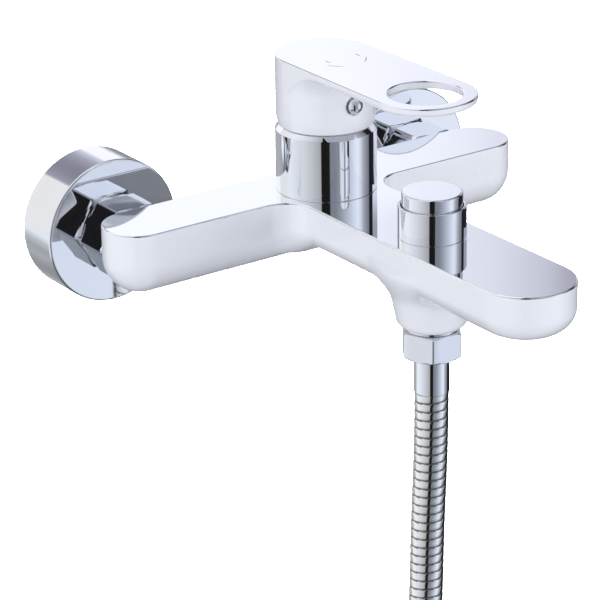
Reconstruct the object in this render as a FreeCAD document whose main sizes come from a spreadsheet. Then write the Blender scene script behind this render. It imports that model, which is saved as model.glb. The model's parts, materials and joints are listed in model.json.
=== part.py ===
import FreeCAD, Part
import math
import os
import re

import Sketcher

# Wall mounted single lever bath and shower mixer with a pull-up diverter and a shower hose.
# Origin: on the wall, midway between the two wall studs. +Y goes into the wall, +Z is up.
# Heights called "level" are measured from the axis of the two inlets, which lies axis_rise
# above the studs because the unions are eccentric.

V = FreeCAD.Vector
doc = FreeCAD.newDocument("bath_faucet")
sheet = doc.addObject("Spreadsheet::Sheet", "Dims")

DIMS = {
    # wall connection
    "inlet_spacing": 150.0,
    "axis_rise": 5.0,
    "stud_radius": 10.475,
    "stud_length": 18.0,
    "stud_bore": 7.5,
    "union_thread": 13.22,
    "union_bore": 9.0,
    "union_plate_from": 3.0,
    "union_plate_to": 9.0,
    "union_plate_rim": 0.8,
    "union_end": 31.0,
    "cup_radius": 30.1,
    "cup_depth": 20.85,
    "cup_wall": 1.5,
    "cup_edge": 0.9,
    "nut_flats": 30.0,
    "nut_from": 21.3,
    "nut_chamfer": 2.0,
    "seal_thick": 2.0,
    "nipple_flange": 2.8,
    "nipple_bore": 7.0,
    "nipple_reach": 15.5,
    # body
    "body_rear": 40.34,
    "arm_width": 29.46,
    "arm_overhang": 23.93,
    "arm_half": "=inlet_spacing / 2 + arm_overhang",
    "arm_depth": 28.1,
    "body_top": 15.6,
    "spout_half": 19.9,
    "spout_tip": 212.1,
    "spout_level": -4.4,
    "spout_round": 9.0,
    "corner_round": 12.0,
    "top_round": 0.5,
    "inlet_boss": 13.6,
    "arm_channel": 6.5,
    "partition": 4.0,
    "mixer_y": 65.0,
    "neck_radius": 19.4,
    "neck_level": 38.0,
    "chamber_radius": 17.6,
    "chamber_level": 9.5,
    "ring_thread": 18.2,
    "ring_level": 33.9,
    "feed_port": 3.5,
    "feed_x": 8.0,
    "feed_y": 7.0,
    "mixed_y": 10.5,
    "spout_channel": 5.8,
    "spout_channel_level": 3.4,
    "tip_channel": 3.8,
    "tip_channel_level": 9.2,
    # tower over the cartridge
    "sleeve_radius": 20.64,
    "pivot_level": 25.0,
    "dome_radius": 26.26304,
    "sleeve_shoulder": "=pivot_level + sqrt(dome_radius ^ 2 - sleeve_radius ^ 2)",
    "sleeve_wall": 0.9,
    "dome_mouth": 11.5,
    # cartridge
    "base_top": 12.0,
    "port_seal_wall": 1.1,
    "port_seal_depth": 1.0,
    "housing_radius": 17.5,
    "housing_cavity": 15.5,
    "cavity_level": 22.2,
    "housing_lip_level": 31.0,
    "housing_mouth": 9.0,
    "fixed_disc_radius": 14.5,
    "fixed_disc_thick": 2.25,
    "moving_disc_radius": 11.5,
    "moving_disc_thick": 2.25,
    "mixing_pocket": 1.0,
    "slider_top": 21.4,
    "swivel_radius": 11.9,
    "swivel_slot_half": 7.2,
    "pin_radius": 1.5,
    "pin_half": 10.5,
    "stem_side": 8.0,
    "stem_up": 36.0,
    "stem_neck": 1.9,
    "ball_radius": 2.6,
    "ball_drop": 5.5,
    "tilt_range": 25.0,
    "ring_mouth": 9.5,
    # handle
    "handle_top": 72.29,
    "bell_radius": 20.27,
    "bell_foot": 19.5,
    "bell_foot_rise": 4.5,
    "bell_cavity": 18.8,
    "handle_level": 43.75,
    "bell_ceiling": 51.7,
    "lever_radius": 20.91,
    "lever_y": 129.92,
    "lever_thick": 3.2,
    "lever_blend": 60.0,
    "finger_hole": 14.56,
    "finger_y": 130.85,
    "screw_level": 55.0,
    "screw_radius": 2.45,
    "screw_length": 9.2,
    "screw_bore": 2.55,
    "cap_radius": 3.3,
    "cap_recess": 3.9,
    "cap_recess_depth": 3.2,
    # diverter
    "collar_radius": 13.5,
    "collar_wall": 1.15,
    "bonnet_clear": 0.95,
    "bonnet_flange": "=collar_radius - collar_wall - bonnet_clear",
    "diverter_y": 135.4,
    "diverter_bore": 8.9,
    "diverter_seat": -2.0,
    "bonnet_foot": 9.8,
    "bonnet_flange_thick": 3.0,
    "bonnet_neck": 6.0,
    "bonnet_top": 24.0,
    "collar_top": 28.48,
    "collar_web": 1.2,
    "knob_inset": 1.5,
    "knob_radius": "=collar_radius - knob_inset",
    "knob_top": 33.83,
    "knob_skirt": 20.0,
    "knob_wall": 1.6,
    "knob_crown": 2.4,
    "knob_boss": 4.2,
    "spindle_radius": 3.0,
    "spindle_tip": 30.0,
    "valve_radius": 7.6,
    "valve_thick": 3.0,
    "stem_seal_wall": 1.4,
    "stem_seal_level": 12.0,
    # aerator
    "aerator_setback": 21.6,
    "aerator_y": "=spout_tip - aerator_setback",
    "aerator_radius": 11.5,
    "aerator_wall": 1.2,
    "aerator_level": -5.4,
    "aerator_top": 2.0,
    "aerator_ceiling": 4.0,
    "aerator_hole": 0.85,
    "aerator_pitch": 2.6,
    # shower outlet
    "hose_radius": 7.0,
    "boss_level": -22.0,
    "boss_foot": 11.3,
    "boss_round": 14.5,
    "boss_round_level": -19.6,
    "boss_waist": 16.9,
    "boss_waist_level": -10.5,
    "outlet_bore": 6.5,
    "outlet_thread": 8.0,
    "outlet_thread_length": 10.0,
    "outlet_flange": 10.8,
    "outlet_flange_thick": 1.1,
    "outlet_end": -31.0,
    "hose_seal_thick": 1.5,
    "ferrule_flange": 10.2,
    "ferrule_flange_thick": 1.0,
    "ferrule_wall": 0.2,
    "ferrule_radius": "=hose_radius + ferrule_wall",
    "ferrule_bore": 4.0,
    "ferrule_end": -50.4,
    "hose_nut_flats": 22.6,
    "hose_nut_top": -23.2,
    "hose_nut_foot": -34.65,
    "hose_nut_turn": -4.8,
    # hose
    "coil_radius": 70.0,
    "coil_level": -292.0,
    "coil_front_y": -142.0,
    "turn_gap": 0.2,
    "coil_step": "=2 * hose_radius + turn_gap",
    "coil_end_angle": 78.0,
    "tie_thick": 1.4,
    "tie_width": 9.0,
    "tie_angle": 62.0,
    "end_tube": 17.0,
    "end_nut_radius": 12.3,
    "end_nut_collar": 10.0,
    "end_nut_from": 11.0,
    "end_nut_to": 29.0,
    "end_nut_rim": 9.0,
    "end_shift": 6.0,
    # clearances
    "thread_gap": 0.05,
    "running_gap": 0.05,
    "seat_gap": 0.05,
    "loose_gap": 0.3,
}
for row, (alias, value) in enumerate(DIMS.items(), start=1):
    sheet.set(f"A{row}", alias)
    sheet.set(f"B{row}", str(value))
    sheet.setAlias(f"B{row}", alias)
doc.recompute()


def size(alias):
    """The value of one cell of the sheet, in millimetres or degrees."""
    return float(sheet.get(alias))


PREFIX = {alias: f"Dims.{alias}" for alias in DIMS}


def linked(text):
    """The same formula with the sheet's name before each alias."""
    return re.sub(r"[a-z]\w*", lambda word: PREFIX.get(word.group(), word.group()), text)


def bind(thing, **formulas):
    """Bind properties of an object to formulas over the sheet; x, y and z are its place."""
    places = {"x": "Placement.Base.x", "y": "Placement.Base.y", "z": "Placement.Base.z"}
    for name, formula in formulas.items():
        thing.setExpression(places.get(name, name), linked(formula))


SEEN_NAMES = set()


def unused(stem):
    """A document name made from a stem that no object has yet."""
    number = 1
    while f"{stem}_{number}" in SEEN_NAMES:
        number += 1
    SEEN_NAMES.add(f"{stem}_{number}")
    return f"{stem}_{number}"


def plane_of(body, role):
    return next(feature for feature in body.Origin.OriginFeatures if feature.Role == role)


def new_sketch(body, role, **offset):
    """A sketch on one of a body's origin planes, moved by formulas for x, y and z if given."""
    sketch = body.newObject("Sketcher::SketchObject", unused("Outline"))
    sketch.AttachmentSupport = [(plane_of(body, role), "")]
    sketch.MapMode = "FlatFace"
    for axis, formula in offset.items():
        sketch.setExpression(f"AttachmentOffset.Base.{axis}", linked(formula))
    return sketch


def pin_point(sketch, geometry, vertex, across, up):
    """Hold one point of a sketch at two formulas, measured from the sketch's origin."""
    place = sketch.getPoint(geometry, vertex)
    for kind, now, formula in (("DistanceX", place.x, across), ("DistanceY", place.y, up)):
        index = sketch.addConstraint(Sketcher.Constraint(kind, -1, 1, geometry, vertex, now))
        sketch.setExpression(f"Constraints[{index}]", linked(formula))


def polygon(sketch, corners):
    """A closed outline of straight sides through corners given as pairs of formulas."""
    count = len(corners)
    ring = [V(10 + 3 * math.cos(2 * math.pi * i / count), 3 * math.sin(2 * math.pi * i / count), 0)
            for i in range(count)]
    for i in range(count):
        sketch.addGeometry(Part.LineSegment(ring[i], ring[(i + 1) % count]))
    for i in range(count):
        sketch.addConstraint(Sketcher.Constraint("Coincident", i, 2, (i + 1) % count, 1))
        pin_point(sketch, i, 1, *corners[i])


def revolve_into(body, corners, role="XZ_Plane", **offset):
    """Turn an outline of (radius, level) corners about the sketch's upright axis."""
    sketch = new_sketch(body, role, **offset)
    polygon(sketch, corners)
    turned = body.newObject("PartDesign::Revolution", unused("Turned"))
    turned.Profile = sketch
    turned.ReferenceAxis = (sketch, ["V_Axis"])
    turned.Angle = 360
    return turned


def lathe(*corners):
    """A body turned about its Z axis from (radius, level) corners."""
    body = doc.addObject("PartDesign::Body", unused("Lathe"))
    revolve_into(body, corners)
    return body


def ring(inner, outer, foot, top):
    return lathe((inner, foot), (outer, foot), (outer, top), (inner, top))


def rod(radius, length, x="0", y="0", z="0", along="Z"):
    """A cylinder that starts at x, y, z and runs along +X, -Y or +Z."""
    thing = doc.addObject("Part::Cylinder", unused("Rod"))
    turns = {"X": (V(0, 1, 0), 90), "-Y": (V(1, 0, 0), 90), "Z": (V(0, 0, 1), 0)}
    thing.Placement = FreeCAD.Placement(V(), FreeCAD.Rotation(*turns[along]))
    bind(thing, Radius=radius, Height=length, x=x, y=y, z=z)
    return thing


def ball(radius, x="0", y="0", z="0"):
    thing = doc.addObject("Part::Sphere", unused("Ball"))
    bind(thing, Radius=radius, x=x, y=y, z=z)
    return thing


def block(length, width, height, x="0", y="0", z="0"):
    """A box centred on x and y that stands on z."""
    thing = doc.addObject("Part::Box", unused("Block"))
    bind(thing, Length=length, Width=width, Height=height, z=z)
    bind(thing, x=f"({x}) - ({length}) / 2", y=f"({y}) - ({width}) / 2")
    return thing


def hexagon(flats, length, z="0"):
    thing = doc.addObject("Part::Prism", unused("Hexagon"))
    thing.Polygon = 6
    bind(thing, Circumradius=f"({flats}) / sqrt(3)", Height=length, z=z)
    return thing


def fused(*things):
    joined = doc.addObject("Part::MultiFuse", unused("Fused"))
    joined.Shapes = list(things)
    joined.Refine = True
    return joined


def shared(*things):
    joined = doc.addObject("Part::MultiCommon", unused("Shared"))
    joined.Shapes = list(things)
    return joined


def cut(base, *tools):
    made = doc.addObject("Part::Cut", unused("Cut"))
    made.Base = base
    made.Tool = tools[0] if len(tools) == 1 else fused(*tools)
    return made


def chamfered_nut(flats, foot, top, chamfer):
    """A hexagon whose six corners are bevelled at both ends."""
    corner = f"({flats}) / sqrt(3)"
    cone = lathe(
        ("0", foot),
        (f"({flats}) / 2", foot),
        (f"{corner} + 0.01", f"{foot} + {chamfer}"),
        (f"{corner} + 0.01", f"{top} - ({chamfer})"),
        (f"({flats}) / 2", top),
        ("0", top),
    )
    return shared(hexagon(flats, f"({top}) - ({foot})", foot), cone)


PIECES = []
FROM_WALL = FreeCAD.Rotation(V(1, 0, 0), 90)  # local Z leads out of the wall, local Y leads up


def piece(label, thing, x="0", y="0", z="0", rotation=FreeCAD.Rotation()):
    """Name a finished sub-part and place it, with z measured from the inlets' level."""
    thing.Label = label
    thing.Placement = FreeCAD.Placement(V(), rotation)
    bind(thing, x=x, y=y, z=f"axis_rise + {z}")
    PIECES.append(thing)
    return thing


# ---------------------------------------------------------------- wall connection, one per inlet


def eccentric_union():
    """S-union: a wall stud and a body thread whose axes lie axis_rise apart."""
    plate_radius = "(stud_radius + axis_rise + union_thread) / 2 + union_plate_rim"
    plate_y = "(union_thread - stud_radius - axis_rise) / 2"
    metal = fused(
        rod("stud_radius", "stud_length + union_plate_to", y="-axis_rise", z="-stud_length"),
        rod(plate_radius, "union_plate_to - union_plate_from", y=plate_y, z="union_plate_from"),
        rod("union_thread", "union_end - union_plate_from", z="union_plate_from"),
    )
    water = fused(
        rod("stud_bore", "stud_length + union_plate_to", y="-axis_rise", z="-stud_length"),
        rod("union_bore", "union_end - union_plate_from", z="union_plate_from + 1"),
    )
    return cut(metal, water)


def escutcheon():
    """Round cup that covers the union, screwed on its body thread and closed at the front."""
    hole = "union_thread + thread_gap"
    return lathe(
        ("cup_radius - cup_wall", "0"),
        ("cup_radius", "0"),
        ("cup_radius", "cup_depth - cup_edge"),
        ("cup_radius - cup_edge", "cup_depth"),
        (hole, "cup_depth"),
        (hole, "cup_depth - cup_wall"),
        ("cup_radius - cup_wall", "cup_depth - cup_wall"),
    )


def union_nut():
    """Swivel nut that draws the nipple's flange against the union's end."""
    foot = "nut_from"
    top = "body_rear - loose_gap"
    shoulder = "union_end + seal_thick + nipple_flange + seat_gap"
    blank = chamfered_nut("nut_flats", foot, top, "nut_chamfer")
    thread = rod("union_thread + thread_gap", f"{shoulder} - nut_from", z=foot)
    throat = rod("stud_radius + loose_gap", "body_rear", z=foot)
    return cut(blank, thread, throat)


def inlet_seal():
    return ring("union_bore", "union_thread - loose_gap", "union_end", "union_end + seal_thick")


def inlet_nipple():
    """Flanged nipple: the flange sits in the nut, the thread goes into the body."""
    seat = "union_end + seal_thick"
    end = "body_rear + nipple_reach"
    return lathe(
        ("nipple_bore", seat),
        ("union_thread - loose_gap", seat),
        ("union_thread - loose_gap", f"{seat} + nipple_flange"),
        ("stud_radius", f"{seat} + nipple_flange"),
        ("stud_radius", end),
        ("nipple_bore", end),
    )


for side, sign in (("left", "-"), ("right", "")):
    across = f"{sign}inlet_spacing / 2"
    piece(f"eccentric_union_{side}", eccentric_union(), x=across, rotation=FROM_WALL)
    piece(f"escutcheon_{side}", escutcheon(), x=across, rotation=FROM_WALL)
    piece(f"union_nut_{side}", union_nut(), x=across, rotation=FROM_WALL)
    piece(f"inlet_seal_{side}", inlet_seal(), x=across, rotation=FROM_WALL)
    piece(f"inlet_nipple_{side}", inlet_nipple(), x=across, rotation=FROM_WALL)


# ---------------------------------------------------------------- body casting


ARM_Y = "-(body_rear + arm_width / 2)"
ROUND_LEVEL = "body_top - arm_depth + arm_width / 2"


def slot_sketch(body, straight, half_width, centre_y, level):
    """Outline of the two arms seen from above: a slot along X with round ends."""
    sketch = new_sketch(body, "XY_Plane", y=centre_y, z=level)
    far, wide = size("arm_half") - size("arm_width") / 2, size("arm_width") / 2
    sketch.addGeometry(Part.LineSegment(V(-far, -wide, 0), V(far, -wide, 0)))
    right_end = Part.Circle(V(far, 0, 0), V(0, 0, 1), wide)
    left_end = Part.Circle(V(-far, 0, 0), V(0, 0, 1), wide)
    sketch.addGeometry(Part.ArcOfCircle(right_end, -math.pi / 2, math.pi / 2))
    sketch.addGeometry(Part.LineSegment(V(far, wide, 0), V(-far, wide, 0)))
    sketch.addGeometry(Part.ArcOfCircle(left_end, math.pi / 2, 3 * math.pi / 2))
    for i in range(4):
        sketch.addConstraint(Sketcher.Constraint("Coincident", i, 2, (i + 1) % 4, 1))
    pin_point(sketch, 0, 1, f"-({straight})", f"-({half_width})")
    pin_point(sketch, 0, 2, straight, f"-({half_width})")
    pin_point(sketch, 2, 1, straight, half_width)
    pin_point(sketch, 2, 2, f"-({straight})", half_width)
    for arc, centre in ((1, straight), (3, f"-({straight})")):
        index = sketch.addConstraint(
            Sketcher.Constraint("DistanceX", -1, 1, arc, 3, sketch.getPoint(arc, 3).x)
        )
        sketch.setExpression(f"Constraints[{index}]", linked(centre))
    return sketch


def tongue_sketch(body, half_width, root, tip, level):
    """Outline from above of a tongue along -Y: a straight root and a half-round tip."""
    sketch = new_sketch(body, "XY_Plane", z=level)
    wide, near, far = 20, -60, -190
    sketch.addGeometry(Part.LineSegment(V(-wide, near, 0), V(-wide, far, 0)))
    tip_end = Part.Circle(V(0, far, 0), V(0, 0, 1), wide)
    sketch.addGeometry(Part.ArcOfCircle(tip_end, math.pi, 2 * math.pi))
    sketch.addGeometry(Part.LineSegment(V(wide, far, 0), V(wide, near, 0)))
    sketch.addGeometry(Part.LineSegment(V(wide, near, 0), V(-wide, near, 0)))
    for i in range(4):
        sketch.addConstraint(Sketcher.Constraint("Coincident", i, 2, (i + 1) % 4, 1))
    centre = f"-({tip}) + ({half_width})"
    pin_point(sketch, 0, 1, f"-({half_width})", root)
    pin_point(sketch, 0, 2, f"-({half_width})", centre)
    pin_point(sketch, 2, 1, half_width, centre)
    pin_point(sketch, 2, 2, half_width, root)
    index = sketch.addConstraint(Sketcher.Constraint("DistanceY", -1, 1, 1, 3, far))
    sketch.setExpression(f"Constraints[{index}]", linked(centre))
    return sketch


def pad(body, sketch, length):
    made = body.newObject("PartDesign::Pad", unused("Pad"))
    made.Profile = sketch
    made.setExpression("Length", linked(length))
    return made


def rounded(body, base, radius, wanted):
    """Fillet those edges of a feature whose vertices all pass a test of x, y and z."""
    doc.recompute()
    names = [
        f"Edge{number}"
        for number, edge in enumerate(base.Shape.Edges, start=1)
        if edge.Vertexes and all(wanted(vertex.Point) for vertex in edge.Vertexes)
    ]
    made = body.newObject("PartDesign::Fillet", unused("Fillet"))
    made.Base = (base, names)
    made.setExpression("Radius", linked(radius))
    return made


def near(value, target):
    return abs(value - target) < 0.01


def top_plate():
    """The flat upper part: arms and spout in one plan, with their inner corners, lower rim and
    top rim rounded, and the flared boss of the shower outlet below."""
    body = doc.addObject("PartDesign::Body", "TopPlate")
    depth = "body_top - spout_level"
    arms = slot_sketch(body, "arm_half - arm_width / 2", "arm_width / 2", ARM_Y, "spout_level")
    pad(body, arms, depth)
    spout = pad(body, tongue_sketch(body, "spout_half", ARM_Y, "spout_tip", "spout_level"), depth)
    front = -size("body_rear") - size("arm_width")
    wide = size("spout_half")
    corners = rounded(body, spout, "corner_round", lambda p: near(abs(p.x), wide) and near(p.y, front))
    low = size("spout_level")
    underside = rounded(body, corners, "spout_round", lambda p: near(p.z, low))
    high = size("body_top")
    rounded(body, underside, "top_round", lambda p: near(p.z, high))
    return body


def outlet_boss():
    return lathe(
        ("0", "boss_level"),
        ("boss_foot", "boss_level"),
        ("boss_round - 0.7", "boss_round_level - 1.3"),
        ("boss_round", "boss_round_level"),
        ("boss_waist", "boss_waist_level"),
        ("boss_waist + 0.9", "spout_level"),
        ("boss_waist + 0.9", "spout_level + spout_round / 2"),
        ("0", "spout_level + spout_round / 2"),
    )


def arm_bar():
    """The lower part of the arms: half-round below, with ball ends."""
    straight = "arm_half - arm_width / 2"
    upper = doc.addObject("PartDesign::Body", "ArmBar")
    outline = slot_sketch(upper, straight, "arm_width / 2", ARM_Y, ROUND_LEVEL)
    pad(upper, outline, "arm_depth - arm_width / 2 - top_round")
    lower = fused(
        rod("arm_width / 2", f"2 * ({straight})", x=f"-({straight})", y=ARM_Y, z=ROUND_LEVEL,
            along="X"),
        ball("arm_width / 2", x=f"-({straight})", y=ARM_Y, z=ROUND_LEVEL),
        ball("arm_width / 2", x=straight, y=ARM_Y, z=ROUND_LEVEL),
    )
    above = block("3 * arm_half", "2 * arm_width", "arm_width", y=ARM_Y, z=ROUND_LEVEL)
    return upper, cut(lower, above)


def body_casting():
    """Casting with the cartridge neck, the inlet bosses, all waterways and threaded bores."""
    mixer_y = "-mixer_y"
    diverter_y = "-diverter_y"
    upper_bar, lower_bar = arm_bar()
    solid = [top_plate(), upper_bar, lower_bar]
    boss = outlet_boss()
    bind(boss, y=diverter_y)
    solid.append(boss)
    solid.append(rod("neck_radius", "neck_level - chamber_level", y=mixer_y, z="chamber_level"))
    hollow = [
        rod("chamber_radius", "neck_level", y=mixer_y, z="chamber_level"),
        rod("ring_thread", "neck_level", y=mixer_y, z="ring_level"),
        rod("feed_port", "chamber_level - spout_channel_level + 1", y=f"{mixer_y} - mixed_y",
            z="spout_channel_level"),
        rod("spout_channel", "diverter_y - mixer_y - mixed_y", y=f"{mixer_y} - mixed_y",
            z="spout_channel_level", along="-Y"),
        rod("diverter_bore", "body_top - diverter_seat + 1", y=diverter_y, z="diverter_seat"),
        rod("outlet_bore", "diverter_seat - boss_level", y=diverter_y, z="boss_level"),
        rod("outlet_thread", "outlet_thread_length", y=diverter_y, z="boss_level"),
        rod("tip_channel", "aerator_y - diverter_y", y=diverter_y, z="tip_channel_level", along="-Y"),
        rod("aerator_radius + thread_gap", "aerator_ceiling - spout_level + 1", y="-aerator_y",
            z="spout_level - 1"),
        rod("aerator_radius - 3.5", "tip_channel_level", y="-aerator_y", z="aerator_ceiling - 4"),
    ]
    for sign in ("-", ""):
        x = f"{sign}inlet_spacing / 2"
        solid.append(rod("inlet_boss", "arm_width / 2", x=x, y="-body_rear", along="-Y"))
        hollow.append(rod("stud_radius + thread_gap", "nipple_reach + seat_gap", x=x, y="-body_rear",
                          along="-Y"))
        feed = f"{sign}feed_x"
        hollow.append(rod("feed_port", "chamber_level + 1", x=feed, y=f"{mixer_y} + feed_y"))
    reach = "inlet_spacing / 2 - partition"
    hollow.append(rod("arm_channel", reach, x="partition", y=ARM_Y, along="X"))
    hollow.append(rod("arm_channel", reach, x=f"-({reach}) - partition", y=ARM_Y, along="X"))
    return cut(fused(*solid), *hollow)


piece("body_casting", body_casting())


# ---------------------------------------------------------------- tower and cartridge


def dome_height(radius, shrink="0"):
    """Level of the dome, a sphere about the lever's pivot through the sleeve's shoulder."""
    return f"pivot_level + sqrt((dome_radius - ({shrink})) ^ 2 - ({radius}) ^ 2)"


def cartridge_sleeve():
    """Polished tube over the neck, domed on top so that the handle's foot clears it."""
    bore = "neck_radius + thread_gap"
    lip = ["dome_mouth", "dome_mouth + 2.5"]
    outer = ["sleeve_radius - 0.9", "sleeve_radius - 2", "sleeve_radius - 4", *reversed(lip)]
    inner = [*lip, "neck_radius - 3.5", "neck_radius - 1.2"]
    return lathe(
        (bore, "body_top"),
        ("sleeve_radius", "body_top"),
        ("sleeve_radius", "sleeve_shoulder"),
        *[(radius, dome_height(radius)) for radius in outer],
        *[(radius, dome_height(radius, "sleeve_wall")) for radius in inner],
        (bore, "neck_level + loose_gap"),
    )


def lock_ring():
    outer = "ring_thread - thread_gap"
    return ring("ring_mouth", outer, "ring_level + seat_gap", "neck_level - loose_gap")


def port_places(thing_at):
    """The three openings of the cartridge: two feeds at the back, one outlet at the front."""
    return [
        thing_at("-feed_x", "feed_y"),
        thing_at("feed_x", "feed_y"),
        thing_at("0", "-mixed_y"),
    ]


BASE_FOOT = "chamber_level + seat_gap"
FIXED_FOOT = "base_top + seat_gap"
FIXED_TOP = f"{FIXED_FOOT} + fixed_disc_thick"
MOVING_FOOT = f"{FIXED_TOP} + running_gap"
MOVING_TOP = f"{MOVING_FOOT} + moving_disc_thick"


def cartridge_base():
    plate = rod("housing_radius", "base_top - chamber_level - seat_gap", z=BASE_FOOT)
    ports = port_places(lambda x, y: rod("feed_port", "housing_radius", x=x, y=y))
    groove = "feed_port + port_seal_wall + seat_gap"
    seats = port_places(lambda x, y: rod(groove, "port_seal_depth", x=x, y=y, z=BASE_FOOT))
    return cut(plate, *ports, *seats)


def port_seals():
    """Three rubber rings between the cartridge's base and the chamber's floor."""
    height = "port_seal_depth - seat_gap"
    rings = port_places(
        lambda x, y: cut(
            rod("feed_port + port_seal_wall", height, x=x, y=y, z=BASE_FOOT),
            rod("feed_port", height, x=x, y=y, z=BASE_FOOT),
        )
    )
    return fused(*rings)


def fixed_disc():
    plate = rod("fixed_disc_radius", "fixed_disc_thick", z=FIXED_FOOT)
    ports = port_places(lambda x, y: rod("feed_port", "housing_radius", x=x, y=y, z="base_top"))
    return cut(plate, *ports)


def moving_disc():
    """Ceramic disc with the pocket underneath in which hot and cold water mix."""
    plate = rod("moving_disc_radius", "moving_disc_thick", z=MOVING_FOOT)
    pocket = rod("moving_disc_radius - 5", "mixing_pocket", y="-1.5", z=MOVING_FOOT)
    return cut(plate, pocket)


def disc_slider():
    """Plastic driver on the moving disc; the ball of the stem works in its bore."""
    height = f"slider_top - ({MOVING_TOP})"
    plate = rod("moving_disc_radius", height, z=MOVING_TOP)
    bore = rod("ball_radius + running_gap + 0.1", height, z=MOVING_TOP)
    return cut(plate, bore)


def cartridge_housing():
    """Plastic shell that holds the discs together, with the swivel's bearing on top."""
    return lathe(
        ("housing_cavity", FIXED_FOOT),
        ("housing_radius", FIXED_FOOT),
        ("housing_radius", "ring_level"),
        ("housing_mouth", "ring_level"),
        ("housing_mouth", "housing_lip_level"),
        ("swivel_radius + running_gap", "housing_lip_level"),
        ("swivel_radius + running_gap", "cavity_level"),
        ("housing_cavity", "cavity_level"),
    )


def stem_swivel():
    """Round carrier that turns in the housing and holds the stem's cross pin."""
    foot = "cavity_level + running_gap"
    height = "housing_lip_level - cavity_level - 2 * running_gap"
    plate = rod("swivel_radius", height, z=foot)
    slot = block("stem_side + 2 * running_gap", "2 * swivel_slot_half", height, z=foot)
    bore = rod("pin_radius", "2 * swivel_radius", x="-swivel_radius", z="pivot_level", along="X")
    return cut(plate, slot, bore)


def stem_pin():
    return lathe(
        ("0", "-pin_half"),
        ("pin_radius", "-pin_half"),
        ("pin_radius", "pin_half"),
        ("0", "pin_half"),
    )


SHUT_LEAN = FreeCAD.Rotation(V(1, 0, 0), size("tilt_range") / 2)  # the stem leans forward when shut


def leaning(thing):
    """Lean a piece that is drawn upright from the pivot to the shut position."""
    thing.Placement = FreeCAD.Placement(V(), SHUT_LEAN)
    thing.setExpression("Placement.Rotation.Angle", linked("tilt_range / 2"))
    return thing


def lever_stem():
    """Square stem, round neck and ball, drawn upright with the pivot at the origin."""
    heel = "pin_radius + 0.8"
    bar = block("stem_side", "stem_side", f"stem_up + {heel}", z=f"-({heel})")
    neck = rod("stem_neck", "ball_drop", z="-ball_drop")
    blank = fused(bar, neck, ball("ball_radius", z="-ball_drop"))
    return cut(blank, rod("pin_radius + running_gap", "2 * stem_side", x="-stem_side", along="X"))


MIXER = {"y": "-mixer_y"}
piece("cartridge_sleeve", cartridge_sleeve(), **MIXER)
piece("lock_ring", lock_ring(), **MIXER)
piece("cartridge_base", cartridge_base(), **MIXER)
piece("port_seals", port_seals(), **MIXER)
piece("fixed_ceramic_disc", fixed_disc(), **MIXER)
SLID = "-mixer_y + ball_drop * sin(tilt_range / 2)"  # the discs shut when the ball is at the back
piece("moving_ceramic_disc", moving_disc(), y=SLID)
piece("disc_slider", disc_slider(), y=SLID)
piece("cartridge_housing", cartridge_housing(), **MIXER)
piece("stem_swivel", stem_swivel(), **MIXER)
piece("stem_pin", stem_pin(), z="pivot_level", rotation=FreeCAD.Rotation(V(0, 1, 0), 90), **MIXER)
piece("lever_stem", lever_stem(), z="pivot_level", rotation=SHUT_LEAN, **MIXER)
PIECES[-1].setExpression("Placement.Rotation.Angle", linked("tilt_range / 2"))


# ---------------------------------------------------------------- handle


def lever_outline(reach, tip_radius, level):
    """Sketch of the lever from above: the bell's circle and the tip's circle, reach apart,
    joined by their common tangents. The bell's axis is the origin."""
    sketch = doc.addObject("Sketcher::SketchObject", unused("LeverOutline"))
    bind(sketch, z=level)
    far, root, tip = 60, size("bell_radius"), size("lever_radius")
    up = V(0, 0, 1)
    sketch.addGeometry(Part.LineSegment(V(-root, 0, 0), V(-tip, -far, 0)))
    sketch.addGeometry(Part.ArcOfCircle(Part.Circle(V(0, -far, 0), up, tip), math.pi, 2 * math.pi))
    sketch.addGeometry(Part.LineSegment(V(tip, -far, 0), V(root, 0, 0)))
    sketch.addGeometry(Part.ArcOfCircle(Part.Circle(V(0, 0, 0), up, root), 0, math.pi))
    for i in range(4):
        sketch.addConstraint(Sketcher.Constraint("Tangent", i, 2, (i + 1) % 4, 1))
    pin_point(sketch, 1, 3, "0", f"-({reach})")
    pin_point(sketch, 3, 3, "0", "0")
    for arc, radius, now in ((1, tip_radius, tip), (3, "bell_radius", root)):
        index = sketch.addConstraint(Sketcher.Constraint("Radius", arc, now))
        sketch.setExpression(f"Constraints[{index}]", linked(radius))
    return sketch


def lofted(*sections):
    made = doc.addObject("Part::Loft", unused("Loft"))
    made.Sections = list(sections)
    made.Solid = True
    return made


def extruded(sketch, length):
    made = doc.addObject("Part::Extrusion", unused("Extruded"))
    made.Base = sketch
    made.DirMode = "Normal"
    made.Solid = True
    bind(made, LengthFwd=length)
    return made


def bell():
    """Turned foot of the handle, open below where it covers the dome, with a boss for the stem."""
    inside = "bell_cavity - 1"
    ceiling = "handle_top - lever_thick - 1"
    return lathe(
        ("bell_cavity", "handle_level"),
        ("bell_foot", "handle_level"),
        ("bell_foot + 0.5", "handle_level + 1.6"),
        ("bell_radius", "handle_level + bell_foot_rise"),
        ("bell_radius", "handle_top"),
        ("0", "handle_top"),
        ("0", "bell_ceiling"),
        ("stem_side + 1.5", "bell_ceiling"),
        ("stem_side + 1.5", ceiling),
        (inside, ceiling),
        (inside, "bell_ceiling"),
        ("bell_cavity", "bell_ceiling"),
    )


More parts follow.
